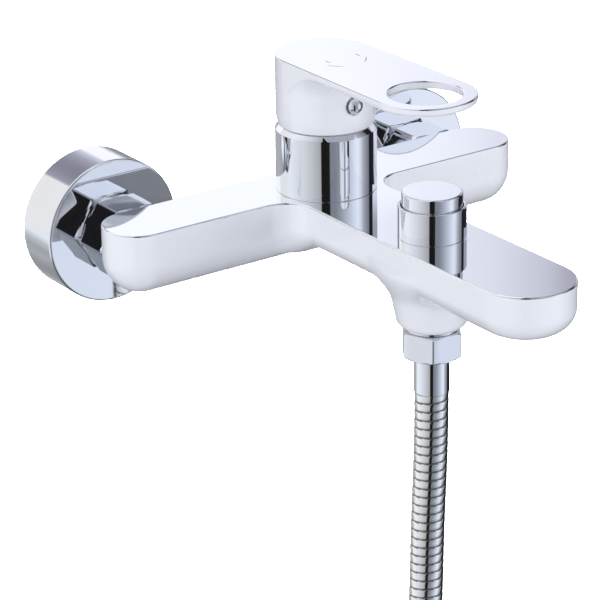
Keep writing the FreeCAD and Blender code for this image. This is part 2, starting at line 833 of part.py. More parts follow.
def handle():
    reach = "lever_y - mixer_y"
    plate_foot = "handle_top - lever_thick"
    plate = extruded(lever_outline(reach, "lever_radius", plate_foot), "lever_thick")
    blend = lofted(
        lever_outline("1", "bell_radius + 0.01", "lever_blend"),
        lever_outline("4", "bell_radius + 0.02", f"lever_blend + 0.5 * ({plate_foot} - lever_blend)"),
        lever_outline("12", "bell_radius + 0.05", f"lever_blend + 0.85 * ({plate_foot} - lever_blend)"),
        lever_outline("24", "bell_radius + 0.1", plate_foot),
    )
    hollow = rod("bell_cavity - 1", f"{plate_foot} - 1 - bell_ceiling", z="bell_ceiling")
    bridge = block("stem_side + 1", "bell_radius - 2", "2 * screw_radius + 6", y="-bell_radius / 2",
                   z="screw_level - screw_radius - 3")
    opening = "stem_side + 2 * seat_gap"
    socket = leaning(block(opening, opening, "stem_up + loose_gap"))
    bind(socket, y=f"-({opening}) / 2 * cos(tilt_range / 2)",
         z=f"pivot_level - ({opening}) / 2 * sin(tilt_range / 2)")
    metal = fused(bell(), cut(blend, hollow), plate, bridge)
    screw_way = rod("screw_bore", "bell_radius", z="screw_level", along="-Y")
    recess = rod("cap_recess", "cap_recess_depth + 1", y="-bell_radius + cap_recess_depth",
                 z="screw_level", along="-Y")
    finger = rod("finger_hole", "3 * lever_thick", y="mixer_y - finger_y",
                 z=f"{plate_foot} - lever_thick")
    return cut(metal, socket, screw_way, recess, finger)


def screw_cover():
    """Polished ball on a short shank that plugs the screw's bore."""
    shank = rod("screw_radius", "bell_radius / 6", y="-bell_radius * 5 / 6", z="screw_level",
                along="-Y")
    return fused(ball("cap_radius", y="-bell_radius + 0.4", z="screw_level"), shank)


def set_screw():
    """Grub screw that presses on the leaning stem, with a hexagon socket in its outer end."""
    start = "stem_side / 2 + (screw_level - pivot_level) * tan(tilt_range / 2) + 0.9"
    shank = rod("screw_radius", "screw_length / 2", y=f"-({start})", z="screw_level", along="-Y")
    key = hexagon("screw_radius", "screw_length / 4")
    key.Placement = FreeCAD.Placement(V(), FROM_WALL)
    bind(key, y=f"-({start}) - screw_length / 4", z="screw_level")
    return cut(shank, key)


piece("handle", handle(), **MIXER)
piece("set_screw", set_screw(), **MIXER)
piece("screw_cover", screw_cover(), **MIXER)


# ---------------------------------------------------------------- diverter


def diverter_bonnet():
    """Threaded guide bush: screwed into the body, its neck guides the spindle."""
    groove = ("stem_seal_level", "stem_seal_level + stem_seal_wall")
    bore, wide = "spindle_radius + running_gap", "spindle_radius + stem_seal_wall + seat_gap"
    return lathe(
        (bore, "bonnet_foot"),
        ("diverter_bore - thread_gap", "bonnet_foot"),
        ("diverter_bore - thread_gap", "body_top"),
        ("bonnet_flange", "body_top"),
        ("bonnet_flange", "body_top + bonnet_flange_thick"),
        ("bonnet_neck", "body_top + bonnet_flange_thick"),
        ("bonnet_neck", "bonnet_top"),
        (bore, "bonnet_top"),
        (bore, groove[1]),
        (wide, groove[1]),
        (wide, groove[0]),
        (bore, groove[0]),
    )


def spindle_seal():
    inner, outer = "spindle_radius + running_gap", "spindle_radius + stem_seal_wall"
    return ring(inner, outer, "stem_seal_level + seat_gap", "stem_seal_level + stem_seal_wall")


def diverter_collar():
    """Polished tube around the knob, held down by its web on the bonnet's flange."""
    web = "body_top + bonnet_flange_thick + seat_gap"
    inner = "collar_radius - collar_wall"
    return lathe(
        (inner, "body_top"),
        ("collar_radius", "body_top"),
        ("collar_radius", "collar_top - 0.4"),
        ("collar_radius - 0.4", "collar_top"),
        (inner, "collar_top"),
        (inner, f"{web} + collar_web"),
        ("bonnet_neck + seat_gap", f"{web} + collar_web"),
        ("bonnet_neck + seat_gap", web),
        (inner, web),
    )


def diverter_knob():
    """Cap of the knob: a skirt that slides in the collar and a boss for the spindle."""
    crown = "knob_top - knob_crown"
    return lathe(
        ("spindle_radius + seat_gap", "spindle_tip - 5"),
        ("knob_boss", "spindle_tip - 5"),
        ("knob_boss", crown),
        ("knob_radius - knob_wall", crown),
        ("knob_radius - knob_wall", "knob_skirt"),
        ("knob_radius", "knob_skirt"),
        ("knob_radius", "knob_top - 0.5"),
        ("knob_radius - 0.5", "knob_top"),
        ("0", "knob_top"),
        ("0", "spindle_tip"),
        ("spindle_radius + seat_gap", "spindle_tip"),
    )


def diverter_spindle():
    """Rod between knob and valve, ending in the shoulder that carries the rubber disc."""
    seat = "diverter_seat + seat_gap"
    return lathe(
        ("0", seat),
        ("spindle_radius / 2", seat),
        ("spindle_radius / 2", f"{seat} + valve_thick"),
        ("spindle_radius", f"{seat} + valve_thick"),
        ("spindle_radius", "spindle_tip"),
        ("0", "spindle_tip"),
    )


def diverter_valve():
    seat = "diverter_seat + seat_gap"
    return ring("spindle_radius / 2", "valve_radius", seat, f"{seat} + valve_thick")


DIVERTER = {"y": "-diverter_y"}
piece("diverter_bonnet", diverter_bonnet(), **DIVERTER)
piece("spindle_seal", spindle_seal(), **DIVERTER)
piece("diverter_collar", diverter_collar(), **DIVERTER)
piece("diverter_knob", diverter_knob(), **DIVERTER)
piece("diverter_spindle", diverter_spindle(), **DIVERTER)
piece("diverter_valve", diverter_valve(), **DIVERTER)


# ---------------------------------------------------------------- aerator


def aerator_housing():
    """Threaded ring in the spout's underside with a lip that carries the insert."""
    inner = "aerator_radius - aerator_wall"
    lip = "aerator_level + aerator_wall"
    return lathe(
        (f"{inner} - 1", "aerator_level"),
        ("aerator_radius - 0.4", "aerator_level"),
        ("aerator_radius", "aerator_level + 0.4"),
        ("aerator_radius", "aerator_top"),
        (inner, "aerator_top"),
        (inner, lip),
        (f"{inner} - 1", lip),
    )


def aerator_insert():
    """Plastic jet plate with rings of small holes."""
    foot = "aerator_level + aerator_wall + seat_gap"
    plate = rod("aerator_radius - aerator_wall - seat_gap", f"aerator_top - ({foot})", z=foot)
    holes = [rod("aerator_hole", "aerator_radius", z="aerator_level")]
    for ring_number in (1, 2, 3):
        for step in range(6 * ring_number):
            turn = 60 / ring_number * step
            reach = f"{ring_number} * aerator_pitch"
            across, along = f"{reach} * cos({turn})", f"{reach} * sin({turn})"
            holes.append(rod("aerator_hole", "aerator_radius", x=across, y=along, z="aerator_level"))
    return cut(plate, *holes)


def aerator_washer():
    inner, outer = "aerator_radius - 3.5", "aerator_radius - loose_gap"
    return ring(inner, outer, "aerator_top", "aerator_ceiling - seat_gap")


AERATOR = {"y": "-aerator_y"}
piece("aerator_housing", aerator_housing(), **AERATOR)
piece("aerator_insert", aerator_insert(), **AERATOR)
piece("aerator_washer", aerator_washer(), **AERATOR)


# ---------------------------------------------------------------- shower outlet and hose ends


def outlet_nipple():
    """Threaded nipple between the boss and the hose, with a thin collar between its threads."""
    return lathe(
        ("outlet_bore - 1", "outlet_end"),
        ("stud_radius", "outlet_end"),
        ("stud_radius", "boss_level - outlet_flange_thick"),
        ("outlet_flange", "boss_level - outlet_flange_thick"),
        ("outlet_flange", "boss_level"),
        ("outlet_thread - thread_gap", "boss_level"),
        ("outlet_thread - thread_gap", "boss_level + outlet_thread_length - seat_gap"),
        ("outlet_bore - 1", "boss_level + outlet_thread_length - seat_gap"),
    )


def hose_seal():
    return ring("outlet_bore - 1", "ferrule_flange", "outlet_end - hose_seal_thick", "outlet_end")


def hose_ferrule():
    """Crimped end sleeve of the hose, with the flange that the nut pulls up."""
    seat = "outlet_end - hose_seal_thick"
    return lathe(
        ("ferrule_bore", "ferrule_end"),
        ("ferrule_radius", "ferrule_end"),
        ("ferrule_radius", f"{seat} - ferrule_flange_thick"),
        ("ferrule_flange", f"{seat} - ferrule_flange_thick"),
        ("ferrule_flange", seat),
        ("ferrule_bore", seat),
    )


def hose_nut():
    blank = chamfered_nut("hose_nut_flats", "hose_nut_foot", "hose_nut_top", "1.0")
    web = "outlet_end - hose_seal_thick - ferrule_flange_thick - seat_gap"
    thread = rod("stud_radius + thread_gap", f"hose_nut_top - ({web})", z=web)
    throat = rod("ferrule_radius + seat_gap", "hose_nut_top - hose_nut_foot", z="hose_nut_foot")
    return cut(blank, thread, throat)


piece("outlet_nipple", outlet_nipple(), **DIVERTER)
piece("hose_seal", hose_seal(), **DIVERTER)
piece("hose_ferrule", hose_ferrule(), **DIVERTER)
piece("hose_nut", hose_nut(), rotation=FreeCAD.Rotation(V(0, 0, 1), size("hose_nut_turn")), **DIVERTER)
PIECES[-1].setExpression("Placement.Rotation.Angle", linked("hose_nut_turn"))


# ---------------------------------------------------------------- hose


# Centre line of the hose from the ferrule to where it joins the coil, chosen by hand.
ROUTE = [
    (0.0, -135.4, -45.4),
    (0.0, -135.4, -68.0),
    (-1.3, -134.7, -104.0),
    (-2.4, -135.3, -138.0),
    (-8.5, -140.0, -174.0),
    (-28.0, -148.0, -209.0),
    (-56.0, -153.5, -238.0),
]


def rounded_path(points):
    """A wire of straight runs joined by tangent arcs, each as large as its two runs allow."""
    corners = [V(*point) for point in points]
    edges, start, smallest = [], corners[0], None
    for before, corner, after in zip(corners, corners[1:], corners[2:]):
        back, ahead = before - corner, after - corner
        tangent = 0.45 * min(back.Length, ahead.Length)
        half_turn = (math.pi - back.getAngle(ahead)) / 2
        radius = tangent / math.tan(half_turn)
        print(f"hose arc radius {radius:.1f} mm")
        smallest = radius if smallest is None else min(smallest, radius)
        enter = corner + back.normalize() * tangent
        leave = corner + ahead.normalize() * tangent
        inward = (back + ahead).normalize()
        middle = corner + inward * (radius / math.cos(half_turn) - radius)
        edges.append(Part.LineSegment(start, enter).toShape())
        edges.append(Part.Arc(enter, middle, leave).toShape())
        start = leave
    edges.append(Part.LineSegment(start, corners[-1]).toShape())
    return Part.Wire(edges)


def hose_run():
    """Plain tube along the hose's free stretch; its volume is its section times its length."""
    path = rounded_path(ROUTE)
    radius = size("hose_radius")
    heading = V(*ROUTE[1]) - V(*ROUTE[0])
    section = Part.Wire([Part.Circle(V(*ROUTE[0]), heading, radius).toShape()])
    tube = path.makePipeShell([section], True, False)
    wanted = math.pi * radius**2 * path.Length
    print(f"hose run {path.Length:.1f} mm, volume {tube.Volume:.0f} for {wanted:.0f} mm3")
    thing = doc.addObject("Part::Feature", "HoseRun")
    thing.Shape = tube
    thing.Label = "hose_run"
    PIECES.append(thing)


IN_COIL_PLANE = {"y": "coil_front_y", "z": "coil_level"}


def hose_coil():
    """Outer shape of the coil: two whole turns and, behind them, a third that stops at the end
    sleeve. Drawn about its own axis, with the front of the first turn's axis at the origin."""
    inner, outer = "coil_radius - hose_radius", "coil_radius + hose_radius"
    whole = ring(inner, outer, "-coil_step - hose_radius", "hose_radius")
    last = ring(inner, outer, "-2 * coil_step - hose_radius", "-coil_step - hose_radius")
    gap = rod("2 * coil_radius", "4 * coil_step", z="-4 * coil_step")
    bind(gap, Angle="180 - coil_end_angle")
    gap.Placement.Rotation = FreeCAD.Rotation(V(0, 0, 1), size("coil_end_angle"))
    gap.setExpression("Placement.Rotation.Angle", linked("coil_end_angle"))
    return fused(whole, cut(last, gap))


def coil_tie():
    """Strap loop around the three turns, just before the end sleeve."""
    loose = "loose_gap"
    wide = f"2 * hose_radius + 2 * {loose}"
    deep = f"2 * coil_step + 2 * hose_radius + 2 * {loose}"
    foot = f"-2 * coil_step - hose_radius - {loose}"
    hole = block(wide, "2 * tie_width", deep, x="coil_radius", z=foot)
    strap = block(f"{wide} + 2 * tie_thick", "tie_width", f"{deep} + 2 * tie_thick", x="coil_radius",
                  z=f"{foot} - tie_thick")
    return cut(strap, hole)


def end_ferrule():
    return lathe(
        ("ferrule_bore", "0"),
        ("ferrule_radius", "0"),
        ("ferrule_radius", "end_tube"),
        ("ferrule_flange", "end_tube"),
        ("ferrule_flange", "end_tube + ferrule_flange_thick"),
        ("ferrule_bore", "end_tube + ferrule_flange_thick"),
    )


def end_seal():
    foot = "end_tube + ferrule_flange_thick"
    return ring("outlet_bore - 1", "ferrule_flange", foot, f"{foot} + hose_seal_thick")


def end_nut():
    """Conical nut for the hand shower, free to turn on the end sleeve. The sleeve's flange and
    seal lie in an undercut behind the thread."""
    shoulder = "end_tube - running_gap"
    undercut = "end_tube + ferrule_flange_thick + hose_seal_thick"
    return lathe(
        ("ferrule_radius + running_gap", "end_nut_from"),
        ("end_nut_collar", "end_nut_from"),
        ("end_nut_radius", "end_nut_to - end_nut_rim"),
        ("end_nut_radius", "end_nut_to"),
        ("stud_radius + thread_gap", "end_nut_to"),
        ("stud_radius + thread_gap", undercut),
        ("stud_radius + loose_gap", undercut),
        ("stud_radius + loose_gap", shoulder),
        ("ferrule_radius + running_gap", shoulder),
    )


hose_run()
piece("hose_coil", hose_coil(), rotation=FROM_WALL, **IN_COIL_PLANE)
TIE_TURN = FROM_WALL.multiply(FreeCAD.Rotation(V(0, 0, 1), size("tie_angle")))
piece("coil_tie", coil_tie(), rotation=TIE_TURN, **IN_COIL_PLANE)
HOSE_END = {
    "x": "coil_radius * cos(coil_end_angle)",
    "y": "coil_front_y + 2 * coil_step + end_shift",
    "z": "coil_level + coil_radius * sin(coil_end_angle)",
}
for label, thing in (("end_ferrule", end_ferrule()), ("end_seal", end_seal()), ("end_nut", end_nut())):
    piece(label, thing, rotation=FreeCAD.Rotation(V(0, -1, 0), size("coil_end_angle")), **HOSE_END)
    thing.setExpression("Placement.Rotation.Angle", linked("coil_end_angle"))


# ---------------------------------------------------------------- checks and files


doc.recompute()
for thing in doc.Objects:
    if {"Invalid", "Error"} & set(thing.State):
        raise RuntimeError(f"{thing.Name} ({thing.Label}) failed: {thing.getStatusString()}")
for thing in PIECES:
    if thing.Shape.isNull() or not thing.Shape.isValid() or not thing.Shape.Solids:
        raise RuntimeError(f"{thing.Label} has no valid solid")
os.makedirs("parts", exist_ok=True)
for thing in PIECES:
    thing.Shape.exportStep(f"parts/{thing.Label}.step")
    print(f"{thing.Label}: {len(thing.Shape.Solids)} solid(s), {thing.Shape.Volume / 1000:.2f} cm3")
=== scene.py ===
import json
import math

import bmesh
import bpy
import numpy as np
from mathutils import Matrix, Vector
from mathutils.geometry import tessellate_polygon

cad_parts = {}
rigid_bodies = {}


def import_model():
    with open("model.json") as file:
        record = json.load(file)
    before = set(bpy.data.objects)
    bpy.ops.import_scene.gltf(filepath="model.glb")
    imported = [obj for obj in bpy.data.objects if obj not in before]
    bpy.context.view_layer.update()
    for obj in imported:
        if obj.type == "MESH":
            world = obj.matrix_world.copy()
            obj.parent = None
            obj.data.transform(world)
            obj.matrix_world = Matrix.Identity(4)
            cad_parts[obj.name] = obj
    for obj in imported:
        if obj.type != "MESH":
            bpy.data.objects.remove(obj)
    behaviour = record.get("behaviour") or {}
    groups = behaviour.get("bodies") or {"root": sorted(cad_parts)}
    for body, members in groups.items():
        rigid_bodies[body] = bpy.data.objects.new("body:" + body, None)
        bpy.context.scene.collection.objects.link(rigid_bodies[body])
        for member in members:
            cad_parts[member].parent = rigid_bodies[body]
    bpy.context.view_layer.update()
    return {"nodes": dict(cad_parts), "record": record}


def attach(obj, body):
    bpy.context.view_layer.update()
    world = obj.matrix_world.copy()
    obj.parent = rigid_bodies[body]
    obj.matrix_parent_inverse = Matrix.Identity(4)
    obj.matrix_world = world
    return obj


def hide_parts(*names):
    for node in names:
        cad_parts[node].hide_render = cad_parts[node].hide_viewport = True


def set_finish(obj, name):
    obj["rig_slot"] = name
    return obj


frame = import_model()

# Lengths in the shapes below are millimetres. Levels are measured from the inlets' axis,
# which lies RISE above the frame's origin.
MM = 0.001
RISE = 5.0
PLATE_X = 75.0
MIXER_Y = -65.0
DIVERTER_Y = -135.4
JET_Y = -190.5
BODY_TOP = 15.6
CAMERA_AZIMUTH, CAMERA_ELEVATION, CAMERA_ROLL = (math.radians(v) for v in (-34.82, 22.23, -0.87))
CAMERA_DISTANCE = 1236.84


# ---------------------------------------------------------------- camera


def add_camera():
    """The photograph's viewing angle: a long lens, rolled a little."""
    level, rise = math.cos(CAMERA_ELEVATION), math.sin(CAMERA_ELEVATION)
    back = Vector((math.sin(CAMERA_AZIMUTH) * level, -math.cos(CAMERA_AZIMUTH) * level, rise))
    flat_right = Vector((math.cos(CAMERA_AZIMUTH), math.sin(CAMERA_AZIMUTH), 0))
    flat_up = back.cross(flat_right)
    right = math.cos(CAMERA_ROLL) * flat_right + math.sin(CAMERA_ROLL) * flat_up
    up = math.cos(CAMERA_ROLL) * flat_up - math.sin(CAMERA_ROLL) * flat_right
    place = right * 26.42 - up * 51.76 + back * CAMERA_DISTANCE + Vector((0, 0, RISE))
    data = bpy.data.cameras.new("camera")
    data.sensor_width = 36.0
    data.lens = 174.2
    data.clip_start, data.clip_end = 0.05, 50.0
    camera = bpy.data.objects.new("camera", data)
    turn = Matrix((right, up, back)).transposed().to_4x4()
    camera.matrix_world = Matrix.Translation(place * MM) @ turn
    bpy.context.scene.collection.objects.link(camera)
    bpy.context.scene.camera = camera


add_camera()


# ---------------------------------------------------------------- mesh helpers


def new_piece(name, points, faces, body, nodes=(), slot=None, looks=None):
    """A mesh object in the row frame from points in millimetres, riding on a body. Looks are a
    material number and a flat mark for each face."""
    mesh = bpy.data.meshes.new(name)
    mesh.from_pydata((np.asarray(points, float) * MM).tolist(), [], [list(f) for f in faces])
    looks = looks or [(0, False)] * len(faces)
    mesh.polygons.foreach_set("material_index", [int(look[0]) for look in looks])
    mesh.polygons.foreach_set("use_smooth", [not look[1] for look in looks])
    work = bmesh.new()
    work.from_mesh(mesh)
    bmesh.ops.remove_doubles(work, verts=work.verts, dist=1e-6)
    bmesh.ops.recalc_face_normals(work, faces=work.faces)
    work.to_mesh(mesh)
    work.free()
    piece = bpy.data.objects.new(name, mesh)
    bpy.context.scene.collection.objects.link(piece)
    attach(piece, body)
    if nodes:
        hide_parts(*nodes)
    if slot:
        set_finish(piece, slot)
    return piece


def grid_faces(rows, columns, first=0):
    """Quads over a grid of points, closed round in the direction of its columns."""
    r, c = np.meshgrid(np.arange(rows - 1), np.arange(columns), indexing="ij")
    r, c = r.ravel(), c.ravel()
    n = (c + 1) % columns
    row, over = r * columns, (r + 1) * columns
    quads = np.stack([row + c, row + n, over + n, over + c], 1)
    return (quads + first).tolist()


def rounded(corners, steps=5):
    """Corners of a profile as (radius, height, rounding); each rounding becomes an arc with a
    support point on either side, so that flat faces keep their normals."""
    count = len(corners)
    out = []
    for i, (x, y, bend) in enumerate(corners):
        here = np.array((x, y))
        before = np.array(corners[i - 1][:2]) - here
        after = np.array(corners[(i + 1) % count][:2]) - here
        if not bend or i in (0, count - 1):
            out.append(here)
            continue
        a, b = before / np.linalg.norm(before), after / np.linalg.norm(after)
        turn = math.acos(float(np.clip(a @ b, -1, 1)))
        reach = bend / math.tan(turn / 2)
        centre = here + (a + b) / np.linalg.norm(a + b) * bend / math.sin(turn / 2)
        start, end = here + a * reach, here + b * reach
        spare_a = min(0.25, 0.4 * (np.linalg.norm(before) - reach))
        spare_b = min(0.25, 0.4 * (np.linalg.norm(after) - reach))
        if spare_a > 0.02:
            out.append(start + a * spare_a)
        first, last = start - centre, end - centre
        sweep = math.acos(float(np.clip(first @ last / bend**2, -1, 1)))
        for k in range(steps + 1):
            t = k / steps
            blend = math.sin((1 - t) * sweep) * first + math.sin(t * sweep) * last
            out.append(centre + blend / math.sin(sweep))
        if spare_b > 0.02:
            out.append(end + b * spare_b)
    return out


def basis(axis):
    """Two directions across an axis, and the axis."""
    along = np.array(axis, float) / np.linalg.norm(axis)
    helper = np.array((1.0, 0, 0)) if abs(along[0]) < 0.9 else np.array((0, 0, 1.0))
    across = np.cross(along, helper)
    across /= np.linalg.norm(across)
    return across, np.cross(along, across), along


def turned(corners, place, axis=(0, 0, 1), segments=144, radius_at=None):
    """Points and faces of a profile turned about an axis through place. radius_at(radius, height,
    angles) may change the radius round the axis."""
    outline = rounded(corners)
    angles = np.arange(segments) / segments * 2 * math.pi
    across, over, along = basis(axis)
    points = []
    for radius, height in outline:
        r = np.full(segments, radius) if radius_at is None else radius_at(radius, height, angles)
        ring = np.outer(r * np.cos(angles), across) + np.outer(r * np.sin(angles), over)
        points.append(ring + along * height)
    points = np.concatenate(points) + np.array(place, float)
    return points, grid_faces(len(outline), segments)


def joined(*parts):
    """Several (points, faces) pairs as one."""
    points, faces, first = [], [], 0
    for some, rings in parts:
        points.append(np.asarray(some, float))
        faces += [[index + first for index in face] for face in rings]
        first += len(some)
    return np.concatenate(points), faces


def sharpen(piece, degrees=30):
    """Sharp edges where faces meet at more than an angle; flat faces stay flat."""
    smooth = [face.use_smooth for face in piece.data.polygons]
    piece.data.set_sharp_from_angle(angle=math.radians(degrees))
    piece.data.polygons.foreach_set("use_smooth", smooth)
    return piece


# ---------------------------------------------------------------- hose

HOSE_RADIUS = 7.0
HOSE_PITCH = 3.75
COIL_CENTRE_Z = -287.0
COIL_RADIUS = 70.0
COIL_POLYGON = 72.4  # the spline runs inside these control points, at COIL_RADIUS
COIL_FRONT_Y = -142.0
COIL_STEP = 14.2
END_ANGLE = 78.0
LAST_ANGLE = 360 * 3 + END_ANGLE
END = math.radians(END_ANGLE)
END_PLACE = (COIL_RADIUS * math.cos(END), -107.6, COIL_CENTRE_Z + COIL_RADIUS * math.sin(END))
END_AXIS = (-math.sin(END), 0, math.cos(END))
END_RUN = 17.0  # straight length of hose inside the end sleeve
ROUTE = [
    (0.0, -135.4, -45.4),
    (0.0, -135.4, -68.0),
    (-1.3, -134.7, -104.0),
    (-2.4, -135.3, -138.0),
    (-8.5, -140.0, -174.0),
    (-28.0, -148.0, -209.0),
    (-56.0, -153.5, -238.0),
]


def coil_point(degrees):
    """A control point of the coil; it changes plane once a turn, beside the incoming pass."""
    turns = (degrees - 180) / 360
    crossing = round(turns)
    plane = crossing - 1 + min(max((turns - crossing) * 6 + 0.5, 0), 1)
    behind = 6.0 * min(max((degrees - LAST_ANGLE + 70) / 60, 0), 1)
    angle = math.radians(degrees)
    return (
        COIL_POLYGON * math.cos(angle),
        COIL_FRONT_Y + COIL_STEP * plane + behind,
        COIL_CENTRE_Z + COIL_POLYGON * math.sin(angle),
    )


def hose_points():
    """Control points of the whole route, from the shower outlet to the loose end."""
    mouth, heading = np.array(END_PLACE), np.array(END_AXIS)
    turns = [coil_point(a) for a in np.arange(190, LAST_ANGLE - 25, 29.0)]
    return ROUTE + turns + [tuple(mouth - heading * END_RUN), tuple(mouth)]


def spline_path(points):
    """Points read from a NURBS spline through control points, in millimetres."""
    curve = bpy.data.curves.new("hose_route", "CURVE")
    curve.dimensions = "3D"
    curve.resolution_u = 24
    spline = curve.splines.new("NURBS")
    spline.points.add(len(points) - 1)
    for point, place in zip(spline.points, points):
        point.co = (place[0] * MM, place[1] * MM, place[2] * MM, 1)
    spline.order_u = 3
    spline.use_endpoint_u = True
    carrier = bpy.data.objects.new("hose_route", curve)
    bpy.context.scene.collection.objects.link(carrier)
    bpy.context.view_layer.update()
    mesh = bpy.data.meshes.new_from_object(carrier)
    path = np.array([v.co for v in mesh.vertices]) / MM
    bpy.data.objects.remove(carrier)
    bpy.data.meshes.remove(mesh)
    return path


def even(path, step):
    """The same path with points a step apart, and its length."""
    lengths = np.concatenate([[0], np.cumsum(np.linalg.norm(np.diff(path, axis=0), axis=1))])
    count = int(round(lengths[-1] / step))
    at = np.linspace(0, lengths[-1], count + 1)
    return np.stack([np.interp(at, lengths, path[:, i]) for i in range(3)], 1), lengths[-1]


def strip_profile(phase):
    """Radius of the wound strip over one pitch: a broad band, a narrow lip and a groove."""
    t = phase % 1.0
    groove = np.exp(-(((t - 0.5) / 0.055) ** 2))
    lip = np.exp(-(((t - 0.30) / 0.045) ** 2))
    crown = np.where(t > 0.5, (t - 0.5) * (1.3 - t) / 0.16, 0.85)
    return HOSE_RADIUS - 0.30 + 0.26 * np.clip(crown, 0, 1) - 0.62 * groove - 0.10 * lip


def swept(path, around, radius_at):
    """A tube along a path, its cross-sections carried along without twist."""
    heading = np.gradient(path, axis=0)
    heading /= np.linalg.norm(heading, axis=1)[:, None]
    side = np.array((1.0, 0, 0))
    points = []
    angles = np.arange(around) / around * 2 * math.pi
    for i, (place, along) in enumerate(zip(path, heading)):
        side = side - along * (side @ along)
        side /= np.linalg.norm(side)
        other = np.cross(along, side)
        r = radius_at(i, angles)
        ring = np.outer(r * np.cos(angles), side) + np.outer(r * np.sin(angles), other)
        points.append(place + ring)
    return np.concatenate(points)


def add_hose():
    """The hose on its route, with the route's points and length in metres."""
    steps_per_pitch = 12
    around = 36
    smooth_path = spline_path(hose_points())
    path, length = even(smooth_path, HOSE_PITCH / steps_per_pitch)

    def radius_at(i, angles):
        return strip_profile(i / steps_per_pitch - angles / (2 * math.pi))

    tube = swept(path, around, radius_at)
    rows = len(path)
    faces = grid_faces(rows, around)
    row, column = np.divmod(np.arange(len(faces)), around)
    phase = ((row + 0.5) / steps_per_pitch - (column + 0.5) / around) % 1.0
    # Faces along the groove get the hose's second, darker metal: painted shade in the grooves of the wound
    # strip.
    groove = np.abs(phase - 0.5) < 0.085
    faces.append(list(range(around)))
    faces.append([(rows - 1) * around + c for c in range(around)])
    looks = [(g, False) for g in [*groove, 0, 0]]
    nodes = ("hose_run", "hose_coil")
    hose = new_piece("shower_hose", tube, faces, "mixer", nodes, "hose_metal", looks)
    return hose, (smooth_path * MM).tolist(), length * MM


hose, hose_path, hose_length = add_hose()


# ---------------------------------------------------------------- turned and hexagonal metal


def along_z(y):
    """Place of an upright part's axis."""
    return (0.0, y, RISE)


def add_turned(name, corners, place, body, node, slot="chrome_plate", degrees=30, **options):
    """A turned piece in place of a node, with sharp edges where its faces meet at an angle."""
    points, faces = turned(corners, place, **options)
    return sharpen(new_piece(name, points, faces, body, (node,), slot), degrees)


def add_nut(name, flats, foot, top, chamfer, inner, place, body, node, axis=(0, 0, 1), turn=0.0,
            inner_top=None):
    """A hexagonal nut: flat sides with a small bevel along each edge and cones at both ends."""
    inradius = flats / 2
    sixth = math.pi / 6
    corner = inradius / math.cos(sixth)
    edge = 0.022  # half-angle, in radians, of the bevel along each upright edge
    angles = []
    for middle in np.arange(6) * math.pi / 3:
        angles += [middle + a * (sixth - edge) for a in (-0.96, -0.6, -0.2, 0.2, 0.6, 0.96)]
        angles += [middle + sixth + a * edge for a in (-1, -0.5, 0, 0.5)]
    angles = np.sort(np.array(angles) % (2 * math.pi))
    local = (angles + sixth) % (math.pi / 3) - sixth
    near_corner = sixth - np.abs(local)
    bevel = inradius / math.cos(sixth - edge) + (edge - near_corner) * 0.6
    flat = np.where(near_corner < edge, bevel, inradius / np.cos(local))
    flat = np.minimum(flat, corner - 0.06)
    face = inradius * 0.985
    slope = (corner - face) / chamfer
    ends = [chamfer * share for share in (0, 0.15, 0.4, 0.7, 1)] + [chamfer + 0.3]
    heights = [foot + end for end in ends] + [top - end for end in reversed(ends)]
    across, over, along = basis(axis)
    rings = []

    def ring(radius, height):
        side = np.outer(radius * np.cos(angles + turn), across)
        rings.append(side + np.outer(radius * np.sin(angles + turn), over) + along * height)

    whole = np.ones_like(angles)
    inner_top = inner if inner_top is None else inner_top
    ring(whole * inner, foot + 0.3)
    ring(whole * (inner + 0.3), foot)
    ring(whole * (face - 0.25), foot)
    for height in heights:
        from_end = min(height - foot, top - height)
        ring(np.minimum(flat, face + from_end * slope + 0.02), height)
    ring(whole * (face - 0.25), top)
    ring(whole * (inner_top + 0.3), top)
    ring(whole * inner_top, top - 0.3)
    points = np.concatenate(rings) + np.array(place, float)
    piece = new_piece(name, points, grid_faces(len(rings), len(angles)), body, (node,), "chrome_plate")
    return sharpen(piece, 24)


for side, x in (("left", -PLATE_X), ("right", PLATE_X)):
    add_turned(
        f"wall_plate_{side}",
        [(28.6, 0.0, 0), (30.1, 0.0, 0.2), (30.1, 20.85, 0.85), (13.27, 20.85, 0.3),
         (13.27, 19.35, 0.2), (28.6, 19.35, 0.4), (28.6, 0.0, 0)],
        (x, 0, RISE), "mixer", f"escutcheon_{side}", axis=(0, -1, 0), segments=192,
    )
    add_nut(f"swivel_nut_{side}", 30.0, 21.3, 40.04, 2.0, 13.27, (x, 0, RISE), "mixer",
            f"union_nut_{side}", axis=(0, -1, 0), inner_top=10.775)

SLEEVE_RADIUS, SLEEVE_SHOULDER, SLEEVE_WALL = 20.64, 41.24, 0.9
PIVOT = 25.0
DOME = math.hypot(SLEEVE_RADIUS, SLEEVE_SHOULDER - PIVOT)


def dome(radius, shrink=0.0):
    """Level of the sleeve's domed top, a sphere about the lever's pivot."""
    return PIVOT + math.sqrt((DOME - shrink) ** 2 - radius**2)


